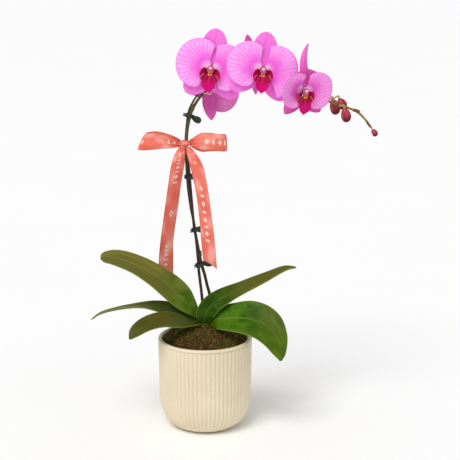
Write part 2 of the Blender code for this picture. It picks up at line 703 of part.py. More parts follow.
def make_ribbon():
    wide, deep, high = KNOT_SIZE
    center = at(*KNOT_CENTER)
    knot = ellipsoid("ribbon_knot", center, (wide / 2, deep / 2, high / 2), "ribbon", segments=16, rows=10)
    rows = spike_rows()
    near = [row for row in rows if abs(row[2] - KNOT_CENTER[2]) < 3 * high / MM and row[0] < 0]
    stems = [([at(*row[:3]) for row in near], [row[3] * MM + GAP for row in near])]
    stake_rows = [row for row in smooth_rows(STAKE, 27) if abs(row[2] - KNOT_CENTER[2]) < 3 * high / MM]
    stems.append(([at(*row) for row in stake_rows], [STAKE_RADIUS + GAP] * len(stake_rows)))
    for number, (centers, radii) in enumerate(stems):
        boolean(knot, "DIFFERENCE", tube(f"knot_hole_{number}", centers, radii, 10, "ribbon"))
    for name, route in RIBBON_LOOPS.items():
        sheet(name, loop_surface(route), 2, 16, "ribbon", RIBBON_THICK)
    for name, outer, slant in (("ribbon_tail_left", -1, 0), ("ribbon_tail_right", 1, TAIL_SLANT)):
        sheet(name, tail_surface(RIBBON_TAILS[name], outer, slant), 2, 10, "ribbon", RIBBON_THICK)
    return knot


# The whole plant

make_pot()
mix, moss = make_fillings()
make_crown_and_leaves(moss)
make_stake(mix, moss)
make_spike()
for clip_name, (clip_height, clip_turn) in CLIPS.items():
    make_clip(clip_name, clip_height, clip_turn)
for flower_name, flower_spec in flowers.items():
    make_flower(flower_name, flower_spec)
for bud_name, (bud_center, bud_radii, bud_lean, _) in BUDS.items():
    make_bud(bud_name, bud_center, bud_radii, bud_lean)
make_ribbon()
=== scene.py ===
import json
import math
import random

import bmesh
import bpy
import numpy as np
from mathutils import Matrix, Vector

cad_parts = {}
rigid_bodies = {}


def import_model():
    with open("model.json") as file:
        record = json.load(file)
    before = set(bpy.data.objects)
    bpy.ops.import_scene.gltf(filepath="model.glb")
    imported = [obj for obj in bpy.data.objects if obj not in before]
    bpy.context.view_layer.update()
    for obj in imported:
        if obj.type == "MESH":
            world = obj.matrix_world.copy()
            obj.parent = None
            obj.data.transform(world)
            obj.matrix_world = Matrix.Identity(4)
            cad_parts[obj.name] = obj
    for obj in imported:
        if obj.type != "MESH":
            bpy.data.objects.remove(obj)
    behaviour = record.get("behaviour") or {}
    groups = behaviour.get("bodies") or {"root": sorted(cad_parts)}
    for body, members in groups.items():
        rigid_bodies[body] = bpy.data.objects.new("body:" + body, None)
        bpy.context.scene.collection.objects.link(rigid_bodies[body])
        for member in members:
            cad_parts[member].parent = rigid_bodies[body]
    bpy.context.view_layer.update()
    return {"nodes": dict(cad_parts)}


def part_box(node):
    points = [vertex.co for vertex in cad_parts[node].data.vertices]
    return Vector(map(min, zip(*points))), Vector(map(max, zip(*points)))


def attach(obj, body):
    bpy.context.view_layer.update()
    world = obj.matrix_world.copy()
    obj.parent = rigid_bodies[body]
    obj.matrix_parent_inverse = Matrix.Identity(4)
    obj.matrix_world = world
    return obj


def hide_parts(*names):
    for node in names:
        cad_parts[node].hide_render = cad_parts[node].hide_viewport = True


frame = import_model()

mm = 0.001
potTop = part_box("pot")[1][2]
plant = Vector((0, 0, potTop + 18 * mm))  # where the crown comes out of the moss
print("frame loaded, crown at", round(plant.z, 4))


# Node trees: a Wire is one output socket, and arithmetic on it adds Math nodes

class Wire:
    def __init__(self, board, socket):
        self.board = board
        self.socket = socket

    def sum(self, operation, *values):
        return self.board.node("ShaderNodeMath", {"operation": operation}, dict(enumerate(values)))


def mathStep(operation, swapped=False):
    def step(self, *others):
        return self.sum(operation, *(reversed((self, *others)) if swapped else (self, *others)))
    return step


for way, operation in {
        "__add__": "ADD", "__sub__": "SUBTRACT", "__mul__": "MULTIPLY", "__truediv__": "DIVIDE",
        "__mod__": "FLOORED_MODULO", "__abs__": "ABSOLUTE", "__lt__": "LESS_THAN",
        "__gt__": "GREATER_THAN", "sine": "SINE", "root": "SQRT", "least": "MINIMUM",
        "most": "MAXIMUM"}.items():
    setattr(Wire, way, mathStep(operation))
for way, operation in {"__radd__": "ADD", "__rsub__": "SUBTRACT", "__rmul__": "MULTIPLY"}.items():
    setattr(Wire, way, mathStep(operation, True))


class Board:
    def __init__(self, tree):
        self.tree = tree

    def join(self, value, socket):
        if isinstance(value, Wire):
            self.tree.links.new(value.socket, socket)
        else:
            socket.default_value = value

    def node(self, kind, settings=None, inputs=None, out=0):
        made = self.tree.nodes.new(kind)
        for key, value in (settings or {}).items():
            if key == "stops":  # (place, colour) pairs of a colour ramp
                ramp = made.color_ramp
                while len(ramp.elements) < len(value):
                    ramp.elements.new(0.5)
                for element, (place, color) in zip(ramp.elements, value):
                    element.position = place
                    element.color = color
            else:
                setattr(made, key, value)
        for key, value in (inputs or {}).items():
            self.join(value, made.inputs[key])
        return Wire(self, made.outputs[out])

    def fade(self, value, low, high, lowTo=0.0, highTo=1.0):
        # smooth step from low to high
        return self.node("ShaderNodeMapRange", {"interpolation_type": "SMOOTHSTEP"},
                         {0: value, 1: low, 2: high, 3: lowTo, 4: highTo})

    def blend(self, share, first, second):
        return self.node("ShaderNodeMix", {"data_type": "RGBA"}, {0: share, 6: first, 7: second}, 2)

    def coats(self, color, *layers):
        # each layer is how much of it, and its own colour
        for share, over in layers:
            color = self.blend(share, color, over)
        return color

    def ramp(self, value, *stops):
        return self.node("ShaderNodeValToRGB", {"stops": stops}, {0: value})

    def noise(self, where, scale, detail, rough):
        return self.node("ShaderNodeTexNoise", {},
                         {"Vector": where, "Scale": scale, "Detail": detail, "Roughness": rough})

    def cells(self, where, scale):
        return self.node("ShaderNodeTexVoronoi", {"feature": "DISTANCE_TO_EDGE"},
                         {"Vector": where, "Scale": scale})

    def place(self):
        return self.node("ShaderNodeTexCoord", out="Object")

    def lay(self, x, y, z=0.0):
        # a vector from three values
        return self.node("ShaderNodeCombineXYZ", {}, {0: x, 1: y, 2: z})

    def parts(self, vector):
        made = self.node("ShaderNodeSeparateXYZ", {}, {0: vector}).socket.node
        return [Wire(self, socket) for socket in made.outputs]

    def across(self):
        # own UV: across the sheet or round the stem, and along it
        return self.parts(self.node("ShaderNodeUVMap", {"uv_map": "UVMap"}))[:2]

    def kept(self, name):
        # a value kept on the mesh
        return self.node("ShaderNodeAttribute", {"attribute_name": name}, out="Fac")

    def bump(self, height, strength, distance):
        return self.node("ShaderNodeBump", {},
                         {"Height": height, "Strength": strength, "Distance": distance})


def rgb(red, green, blue, alpha=1.0):
    # screen values, 0 to 255
    def linear(value):
        value /= 255
        return value / 12.92 if value <= 0.04045 else ((value + 0.055) / 1.055) ** 2.4
    return (linear(red), linear(green), linear(blue), alpha)


def newFinish(name, **fixed):
    made = bpy.data.materials.new(name)
    made.use_nodes = True
    shader = made.node_tree.nodes["Principled BSDF"]
    for key, value in fixed.items():
        shader.inputs[key.replace("_", " ")].default_value = value
    return made, Board(made.node_tree), shader


def feed(board, shader, **wires):
    for key, value in wires.items():
        board.join(value, shader.inputs[key.replace("_", " ")])


# Mesh tools

def at(x, y, z):
    # millimetres from the crown
    return plant + Vector((x, y, z)) * mm


def circle(count):
    # the angles of a full turn in equal steps
    return [2 * math.pi * i / count for i in range(count)]


def smoothRows(rows, count):
    rows = [Vector(row) for row in rows]
    rows = [rows[0] * 2 - rows[1], *rows, rows[-1] * 2 - rows[-2]]
    spans = len(rows) - 3
    made = []
    for step in range(count):
        place = spans * step / (count - 1)
        i = min(int(place), spans - 1)
        t = place - i
        a, b, c, d = rows[i:i + 4]
        made.append(((b * 2) + (c - a) * t + (a * 2 - b * 5 + c * 4 - d) * t ** 2
                     + (b * 3 - a - c * 3 + d) * t ** 3) / 2)
    return made


def wayAlong(points):
    last = len(points) - 1
    return [(points[min(i + 1, last)] - points[max(i - 1, 0)]).normalized() for i in range(last + 1)]


def meshPiece(name, points, faces, uvs, finish, back=None):
    mesh = bpy.data.meshes.new(name)
    mesh.from_pydata(points, [], faces)
    layer = mesh.uv_layers.new(name="UVMap")
    layer.data.foreach_set("uv", np.array(uvs, np.float32).ravel())
    kept = mesh.attributes.new("back", "FLOAT", "POINT")
    kept.data.foreach_set("value", np.zeros(len(points), np.float32) if back is None
                          else np.array(back, np.float32))
    bm = bmesh.new()
    bm.from_mesh(mesh)
    bmesh.ops.recalc_face_normals(bm, faces=bm.faces)
    bm.to_mesh(mesh)
    bm.free()
    mesh.materials.append(finish)
    mesh.shade_smooth()
    made = bpy.data.objects.new(name, mesh)
    bpy.context.scene.collection.objects.link(made)
    return made


def ringPiece(name, rings, finish):
    # closed rings of points joined in order, with a cap at each end
    rows, columns = len(rings), len(rings[0])
    points = [tuple(p) for ring in rings for p in ring]
    faces, uvs = [], []
    for j in range(rows - 1):
        for i in range(columns):
            k = (i + 1) % columns
            faces.append((j * columns + i, j * columns + k, (j + 1) * columns + k, (j + 1) * columns + i))
            for u, v in ((i, j), (i + 1, j), (i + 1, j + 1), (i, j + 1)):
                uvs.append((u / columns, v / (rows - 1)))
    for row, v in ((0, 0.0), (rows - 1, 1.0)):
        middle = len(points)
        points.append(tuple(sum((Vector(p) for p in rings[row]), Vector()) / columns))
        for i in range(columns):
            faces.append((row * columns + i, row * columns + (i + 1) % columns, middle))
            uvs += [(i / columns, v), ((i + 1) / columns, v), ((i + 0.5) / columns, v)]
    return meshPiece(name, points, faces, uvs, finish)


def stemPiece(name, centers, radii, sides, finish):
    side = None
    rings = []
    for center, way, radius in zip(centers, wayAlong(centers), radii):
        if side is None:
            side = way.orthogonal()
        side = (side - way * side.dot(way)).normalized()
        other = way.cross(side)
        rings.append([center + (side * math.cos(a) + other * math.sin(a)) * radius
                      for a in circle(sides)])
    return ringPiece(name, rings, finish)


def thinPiece(name, surface, across, along, thick, finish, edge=0.35):
    # a thin closed sheet round surface(s, t), s from -1 to 1 across and t from 0 to 1 along
    middle = np.array([[surface(2 * i / across - 1, j / along) for i in range(across + 1)]
                       for j in range(along + 1)], float)
    through = np.cross(np.gradient(middle, axis=1), np.gradient(middle, axis=0))
    through /= np.linalg.norm(through, axis=2, keepdims=True) + 1e-12
    s = np.linspace(-1, 1, across + 1)
    t = np.linspace(0, 1, along + 1)
    thin = edge + (1 - edge) * np.minimum(1, (1 - np.abs(s)) / 0.14)[None, :] ** 0.5
    thin = np.minimum(thin, edge + (1 - edge) * np.minimum(1, (1 - t) / 0.08)[:, None] ** 0.5)
    half = through * (thin * thick / 2)[:, :, None]
    front, under = middle + half, middle - half
    wide = across + 1
    size = wide * (along + 1)
    points = [tuple(p) for p in front.reshape(-1, 3)] + [tuple(p) for p in under.reshape(-1, 3)]
    faces, uvs = [], []

    def add(corners):
        face = []
        for layer, i, j in corners:
            face.append(layer * size + j * wide + i)
            uvs.append((i / across, j / along))
        faces.append(tuple(face))

    for j in range(along):
        for i in range(across):
            add([(0, i, j), (0, i + 1, j), (0, i + 1, j + 1), (0, i, j + 1)])
            add([(1, i, j + 1), (1, i + 1, j + 1), (1, i + 1, j), (1, i, j)])
        add([(0, 0, j + 1), (1, 0, j + 1), (1, 0, j), (0, 0, j)])
        add([(0, across, j), (1, across, j), (1, across, j + 1), (0, across, j + 1)])
    for i in range(across):
        add([(1, i, 0), (1, i + 1, 0), (0, i + 1, 0), (0, i, 0)])
        add([(0, i, along), (0, i + 1, along), (1, i + 1, along), (1, i, along)])
    return meshPiece(name, points, faces, uvs, finish, [0] * size + [1] * size)


def eggPiece(name, center, radii, finish, segments, rows):
    rings = []
    for j in range(rows):
        angle = math.pi * (j + 0.5) / rows
        rings.append([center + Vector((
            radii[0] * math.sin(angle) * math.cos(a), radii[1] * math.sin(angle) * math.sin(a),
            radii[2] * math.cos(angle))) for a in circle(segments)])
    return ringPiece(name, rings, finish)


def joinPieces(name, pieces):
    with bpy.context.temp_override(active_object=pieces[0], selected_editable_objects=pieces,
                                   selected_objects=pieces, object=pieces[0]):
        bpy.ops.object.join()
    pieces[0].name = name
    pieces[0].data.name = name
    return pieces[0]


def settle(piece, slot, *nodes):
    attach(piece, "root")
    if nodes:
        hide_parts(*nodes)
    return piece


# Geometry Nodes: a recipe is a tree with named inputs that works on a carrier mesh

class Recipe(Board):
    def __init__(self, name, **sizes):
        super().__init__(bpy.data.node_groups.new(name, "GeometryNodeTree"))
        face = self.tree.interface
        face.new_socket("Carrier", in_out="INPUT", socket_type="NodeSocketGeometry")
        face.new_socket("Result", in_out="OUTPUT", socket_type="NodeSocketGeometry")
        kinds = {int: "NodeSocketInt", float: "NodeSocketFloat",
                 bpy.types.Collection: "NodeSocketCollection"}
        self.ids = {}
        for key, value in sizes.items():
            kind = bpy.types.Collection if isinstance(value, bpy.types.Collection) else type(value)
            socket = face.new_socket(key, in_out="INPUT", socket_type=kinds[kind])
            self.ids[key] = socket.identifier
        self.sizes = sizes
        entry = self.tree.nodes.new("NodeGroupInput")
        self.carrier = Wire(self, entry.outputs[0])
        self.size = {key: Wire(self, entry.outputs[key]) for key in sizes}

    def chance(self, kind, low, high, seed):
        # a random value between two others: where it is read depends on its kind
        first, second, out = {"FLOAT": (2, 3, 1), "INT": ("Min", "Max", 2), "FLOAT_VECTOR": (0, 1, 0)}[kind]
        return self.node("FunctionNodeRandomValue", {"data_type": kind},
                         {first: low, second: high, "Seed": seed}, out)

    def finishWith(self, shape, material):
        real = self.node("GeometryNodeRealizeInstances", {}, {0: shape})
        coated = self.node("GeometryNodeSetMaterial", {}, {"Geometry": real, "Material": material})
        self.join(coated, self.tree.nodes.new("NodeGroupOutput").inputs[0])

    def run(self, carrier, name):
        step = carrier.modifiers.new(self.tree.name, "NODES")
        step.node_group = self.tree
        for key, value in self.sizes.items():
            step[self.ids[key]] = value
        bpy.context.view_layer.update()
        shown = carrier.evaluated_get(bpy.context.evaluated_depsgraph_get())
        mesh = bpy.data.meshes.new_from_object(shown, preserve_all_data_layers=True,
                                               depsgraph=bpy.context.evaluated_depsgraph_get())
        mesh.name = name
        made = bpy.data.objects.new(name, mesh)
        bpy.context.scene.collection.objects.link(made)
        bpy.data.objects.remove(carrier, do_unlink=True)
        return made


print("tools ready")

# Pot: a turned body, with the ribs pressed into its outside by a recipe

pot = {
    "height": potTop, "radius": 70.2 * mm, "lowRadius": 68.7 * mm, "wall": 6.4 * mm,
    "footRadius": 36 * mm, "footRound": 46 * mm, "band": 4 * mm,
    "ribs": 66, "ribDepth": 1.2 * mm, "stepsPerRib": 10, "floor": 8 * mm,
}


def potRadius(height):
    if height >= pot["footRound"]:
        share = (height - pot["footRound"]) / (pot["height"] - pot["footRound"])
        return pot["lowRadius"] + (pot["radius"] - pot["lowRadius"]) * share
    drop = 1 - max(height, 0) / pot["footRound"]
    return pot["footRadius"] + (pot["lowRadius"] - pot["footRadius"]) * math.sqrt(1 - drop ** 2)


def glazeFinish():
    made, b, shader = newFinish("creamSatinGlaze", IOR=1.5, Coat_Roughness=0.28)
    where = b.place()
    cloud = b.noise(where, 14, 3, 0.5)
    grain = b.noise(where, 420, 3, 0.6)
    speck = b.fade(b.noise(where, 900, 2, 0.5), 0.68, 0.76)
    groove = b.kept("groove")
    color = b.blend(b.fade(cloud, 0.35, 0.7), rgb(226, 210, 180), rgb(234, 219, 190))
    color = b.coats(color,
        # painted shade: the glaze is darker down in the rib grooves
        (groove * 0.4, rgb(208, 188, 150)),
        (b.fade(grain, 0.3, 0.75) * 0.2, rgb(244, 233, 208)),
        (speck * 0.16, rgb(188, 166, 128)))
    feed(b, shader, Base_Color=color, Roughness=0.42 + grain * 0.14 + groove * 0.12,
         Coat_Weight=b.fade(cloud, 0.3, 0.7, 0.1, 0.24),
         Normal=b.bump(grain + cloud * 0.5, 0.1, 0.0006))
    return made


def makePot():
    glaze = glazeFinish()
    top, wall = pot["height"], pot["wall"]
    ribTop = top - pot["band"]
    outside = [pot["footRound"] * (1 - math.cos(math.pi / 2 * i / 26)) for i in range(1, 27)]
    outside += [pot["footRound"] + (ribTop - 5 * mm - pot["footRound"]) * i / 14 for i in range(1, 15)]
    outside += [ribTop - 5 * mm + 0.3 * mm * i for i in range(1, 21)]
    profile = [(pot["footRadius"] - 4 * mm, 1.2 * mm, 0), (pot["footRadius"] - 3 * mm, 0.2 * mm, 0),
               (pot["footRadius"] - 2 * mm, 0, 0), (pot["footRadius"], 0, 0)]
    profile += [(potRadius(h), h, 1) for h in outside]
    for i in range(9):  # the rim rolls over from the outside to the inside
        turn = math.pi * i / 8
        profile.append((potRadius(top) - wall / 2 + wall / 2 * math.cos(turn),
                        top - wall * 0.42 + wall * 0.42 * math.sin(turn), 0))
    for h in (top - 8 * mm, top - 20 * mm, pot["footRound"], pot["footRound"] * 0.4, pot["floor"]):
        inner = potRadius(h) - wall
        profile.append((inner if h > pot["floor"] else inner - 14 * mm, h, 0))
    count = pot["ribs"] * pot["stepsPerRib"]
    rings = [[(r * math.cos(a), r * math.sin(a), h) for a in circle(count)] for r, h, _ in profile]
    carrier = ringPiece("potBody", rings, glaze)
    kept = carrier.data.attributes.new("outside", "FLOAT", "POINT")
    marks = [mark for _, _, mark in profile for _ in range(count)] + [0, 0]
    kept.data.foreach_set("value", np.array(marks, np.float32))

    r = Recipe("pressRibs", ribs=pot["ribs"], depth=pot["ribDepth"], top=ribTop,
               radius=pot["radius"], footFade=15 * mm)
    x, y, z = r.parts(r.node("GeometryNodeInputPosition"))
    turn = r.node("ShaderNodeMath", {"operation": "ARCTAN2"}, {0: y, 1: x}) * r.size["ribs"] / (2 * math.pi)
    u = 2 * (turn % 1.0) - 1
    halfPitch = r.size["radius"] * math.pi / r.size["ribs"]
    end = (1 - (r.size["top"] - z) / halfPitch).most(0.0)
    dome = (1 - u * u - end * end).most(0.0).root()
    zone = r.node("GeometryNodeInputNamedAttribute", {"data_type": "FLOAT"}, {"Name": "outside"})
    zone = zone * r.fade(z, 0.0, r.size["footFade"]) * (z < r.size["top"])
    groove = zone * (1 - dome)
    stored = r.node("GeometryNodeStoreNamedAttribute", {"data_type": "FLOAT", "domain": "POINT"},
                    {"Geometry": r.carrier, "Name": "groove", "Value": groove})
    inward = r.node("ShaderNodeVectorMath", {"operation": "SCALE"},
                    {0: r.node("GeometryNodeInputNormal"), "Scale": groove * r.size["depth"] * -1})
    moved = r.node("GeometryNodeSetPosition", {}, {"Geometry": stored, "Offset": inward})
    r.finishWith(moved, glaze)
    made = r.run(carrier, "pot_ribbed")
    made.data.shade_smooth()
    settle(made, "cream_glaze", "pot")


makePot()
print("pot done")

# Moss mound: a lumpy bed, with strands, tufts and bark chips scattered on it by a recipe

moss = {
    "shift": 2.2 * mm, "sideGap": 3.6 * mm, "bedBelowRim": 25 * mm,
    "edgeBelowRim": 8 * mm, "leftRise": 8 * mm, "lump": 2.2 * mm, "lumps": 70,
    "strandsPerArea": 290000.0, "chipsPerArea": 2300.0, "seed": 11,
    # place from the pot's middle, turn in degrees and half size of each long sliver, in millimetres
    "slivers": [
        (-34, -45, -34, (8, 1.3, 1.1)), (-24, -50, -20, (9, 1.5, 1.2)), (-16, -54, -30, (6, 1.6, 1.2)),
        (-40, -38, -60, (6, 1.2, 1.0)), (-46, -15, -70, (3.6, 2.6, 1.6)), (24, -50, 40, (3.4, 2.4, 1.4)),
        (12, -34, 10, (8, 1.6, 1.2)), (19, -30, -16, (9, 1.5, 1.0)), (48, -28, 44, (6, 1.3, 1.0))],
    "sliverTilt": 14,
    "airRoot": [(-9, -2, 1), (-20, -9, 2.4), (-31, -14, 0), (-39, -17, -4), (-44, -18, -10)],
}
moss["edge"] = potRadius(potTop - moss["bedBelowRim"]) - pot["wall"] - moss["sideGap"]


def mossHeight(radius, left=0.0):
    # left is 1 at the left side, where the moss lies against the rim
    low = potTop - moss["edgeBelowRim"] + moss["leftRise"] * left
    return low + (plant.z - low) * (1 - min(1, radius / moss["edge"]) ** (1.7 + 2 * left))


def mossFinish(name, stops, roughness=0.95):
    made, b, shader = newFinish(name, Specular_IOR_Level=0.25)
    where = b.place()
    patch = b.noise(where, 45, 3, 0.6)
    fine = b.noise(where, 900, 3, 0.65)
    value = b.kept("tint") * 0.6 + patch * 0.55 + fine * 0.3 - 0.22
    color = b.ramp(value, *stops)
    feed(b, shader, Base_Color=color, Roughness=roughness - fine * 0.2,
         Normal=b.bump(fine, 0.5, 0.0008))
    return made


def scatter(name, carrier, bits, density, seed, finish, sizes, lift, spread):
    # instances of the bits on the carrier's upper faces
    r = Recipe(name, density=density, seed=seed, bits=bits, smallest=sizes[0], largest=sizes[1])
    normal = r.node("GeometryNodeInputNormal")
    upward = r.parts(normal)[2] > 0.25
    points = r.node("GeometryNodeDistributePointsOnFaces", {"distribute_method": "RANDOM"},
                    {"Mesh": r.carrier, "Density": r.size["density"], "Seed": r.size["seed"],
                     "Selection": upward})
    turned = Wire(r, points.socket.node.outputs["Rotation"])
    choice = r.node("GeometryNodeCollectionInfo", {"transform_space": "ORIGINAL"},
                    {"Collection": r.size["bits"], "Separate Children": True, "Reset Children": True})
    index = r.chance("INT", 0, len(bits.objects) - 1, 3)
    size = r.chance("FLOAT", r.size["smallest"], r.size["largest"], 5)
    placed = r.node("GeometryNodeInstanceOnPoints", {},
                    {"Points": points, "Instance": choice, "Pick Instance": True,
                     "Instance Index": index, "Rotation": turned, "Scale": size})
    angles = r.chance("FLOAT_VECTOR", (-spread, -spread, -math.pi), (spread, spread, math.pi), 7)
    placed = r.node("GeometryNodeRotateInstances", {}, {"Instances": placed, "Rotation": angles})
    placed = r.node("GeometryNodeTranslateInstances", {},
                    {"Instances": placed, "Translation": (0.0, 0.0, lift)})
    tint = r.chance("FLOAT", 0.0, 1.0, 9)
    placed = r.node("GeometryNodeStoreNamedAttribute", {"data_type": "FLOAT", "domain": "INSTANCE"},
                    {"Geometry": placed, "Name": "tint", "Value": tint})
    r.finishWith(placed, finish)
    made = r.run(carrier, name)
    made.data.shade_smooth()
    return made


def bitsOf(name, pieces):
    box = bpy.data.collections.new(name)
    for piece in pieces:
        bpy.context.scene.collection.objects.unlink(piece)
        box.objects.link(piece)
    return box


def mossBed(name, finish, rings=44, sides=96):
    chance = random.Random(moss["seed"])
    lumps = [(chance.uniform(-1, 1), chance.uniform(-1, 1), chance.uniform(0.06, 0.17),
              chance.uniform(-0.6, 1.0)) for _ in range(moss["lumps"])]
    rows = []
    heights = [potTop - moss["bedBelowRim"] + 0.4 * mm, potTop - moss["bedBelowRim"] * 0.6]
    for h in heights:
        rows.append([(moss["shift"] + (moss["edge"] - moss["shift"]) * math.cos(a),
                      (moss["edge"] - moss["shift"]) * math.sin(a), h)
                     for a in circle(sides)])
    for j in range(rings):
        share = 1 - j / (rings - 0.7)
        ring = []
        for a in circle(sides):
            x, y = share * math.cos(a), share * math.sin(a)
            rise = sum(power * math.exp(-((x - u) ** 2 + (y - v) ** 2) / wide ** 2)
                       for u, v, wide, power in lumps)
            radius = share * moss["edge"]
            ring.append((moss["shift"] + radius * math.cos(a), radius * math.sin(a),
                         mossHeight(radius, max(0, -math.cos(a - 0.3))) + rise * moss["lump"] - 1.5 * mm))
        rows.append(ring)
    return ringPiece(name, rows, finish)


def curl(name, length, bend, radius, finish, seed, steps=6):
    chance = random.Random(seed)
    points = [Vector((0, 0, -0.6 * mm))]
    way = Vector((chance.uniform(-0.4, 0.4), chance.uniform(-0.4, 0.4), 1)).normalized()
    for _ in range(steps):
        way = (way + Vector((chance.uniform(-bend, bend), chance.uniform(-bend, bend),
                             chance.uniform(-bend, bend) - 0.12))).normalized()
        points.append(points[-1] + way * length / steps)
    radii = [radius * (1 - 0.6 * i / steps) for i in range(steps + 1)]
    return stemPiece(name, points, radii, 3, finish)


def chip(name, size, finish, seed):
    chance = random.Random(seed)
    rings = []
    for level, share in ((-0.5, 0.8), (0.0, 1.0), (0.5, 0.78)):
        rings.append([(size[0] * share * math.cos(a) * chance.uniform(0.75, 1.1),
                       size[1] * share * math.sin(a) * chance.uniform(0.7, 1.1),
                       size[2] * (level + chance.uniform(-0.1, 0.1)))
                      for a in circle(8)])
    return ringPiece(name, rings, finish)


def makeMoss():
    earth = mossFinish("mossBed", [(0.1, rgb(40, 30, 12)), (0.45, rgb(80, 62, 26)),
                                   (0.7, rgb(98, 88, 34)), (0.95, rgb(124, 112, 54))])
    strand = mossFinish("mossStrands", [(0.05, rgb(70, 42, 12)), (0.3, rgb(118, 84, 30)),
                                        (0.52, rgb(118, 112, 28)), (0.75, rgb(154, 140, 60)),
                                        (1.0, rgb(190, 168, 100))])
    bark = mossFinish("barkChips", [(0.1, rgb(98, 48, 30)), (0.45, rgb(138, 78, 52)),
                                    (0.7, rgb(164, 108, 76)), (0.95, rgb(206, 150, 116))], 0.85)
    rust = mossFinish("rustyBark", [(0.1, rgb(104, 30, 14)), (0.45, rgb(158, 54, 26)),
                                    (0.7, rgb(182, 86, 50)), (0.95, rgb(214, 128, 92))], 0.85)
    settle(mossBed("moss_bed", earth), "moss", "moss")

    strands = bitsOf("mossBits", [curl(f"strand{i}", (4 + i * 0.9) * mm, 0.5, 0.28 * mm, strand, i)
                                  for i in range(6)])
    made = scatter("moss_strands", mossBed("mossCarrier", earth, 30, 72), strands,
                   moss["strandsPerArea"], moss["seed"], strand, (0.6, 1.3), 0.0, 1.0)
    settle(made, "moss")
    sizes = [((2.6 + 0.8 * i) * mm, (0.9 + 0.25 * i) * mm, 0.9 * mm) for i in range(4)]
    chips = bitsOf("barkBits", [chip(f"chip{i}", size, bark, i + 20) for i, size in enumerate(sizes)])
    made = scatter("moss_bark_chips", mossBed("chipCarrier", earth, 30, 72), chips,
                   moss["chipsPerArea"], moss["seed"] + 4, bark, (0.5, 1.25), 0.6 * mm, 0.4)
    settle(made, "bark_mix")
    for box in (strands, chips):
        for piece in list(box.objects):
            bpy.data.objects.remove(piece, do_unlink=True)
        bpy.data.collections.remove(box)

    # long slivers of bark by the rim, and a few larger chips
    pieces = []
    tilt = Matrix.Rotation(math.radians(moss["sliverTilt"]), 4, "Y")
    for number, (x, y, turn, size) in enumerate(moss["slivers"]):
        radius = math.hypot(x - moss["shift"] / mm, y) * mm
        high = mossHeight(radius, max(0, -x / radius * mm)) + 1.2 * mm
        place = Matrix.Translation((x * mm, y * mm, high))
        place = place @ Matrix.Rotation(math.radians(turn), 4, "Z") @ tilt
        piece = chip(f"sliver{number}", [v * mm for v in size], rust, 50 + number)
        piece.data.transform(place)
        pieces.append(piece)
    settle(joinPieces("moss_bark_slivers", pieces), "bark_mix")

    # an air root lies over the moss on the left
    root = [at(*row) for row in smoothRows(moss["airRoot"], 40)]
    radii = [2.1 * mm * (1 - 0.25 * i / 39) for i in range(40)]
    settle(stemPiece("air_root", root, radii, 12, rootFinish()), "stem")
    for slot in frame["nodes"]["potting_mix"].material_slots:
        slot.material = earth


def rootFinish():
    made, b, shader = newFinish("airRoot", Specular_IOR_Level=0.4)
    where = b.place()
    u, v = b.across()
    patch = b.noise(where, 160, 4, 0.6)
    color = b.blend(b.fade(patch, 0.35, 0.7), rgb(92, 84, 50), rgb(144, 132, 92))
    color = b.blend(b.fade(v, 0.75, 1.0), color, rgb(120, 132, 64))
    feed(b, shader, Base_Color=color, Roughness=0.7 + patch * 0.2, Normal=b.bump(patch, 0.6, 0.0008))
    return made


makeMoss()
print("moss done")

# Leaves and the crown they spring from

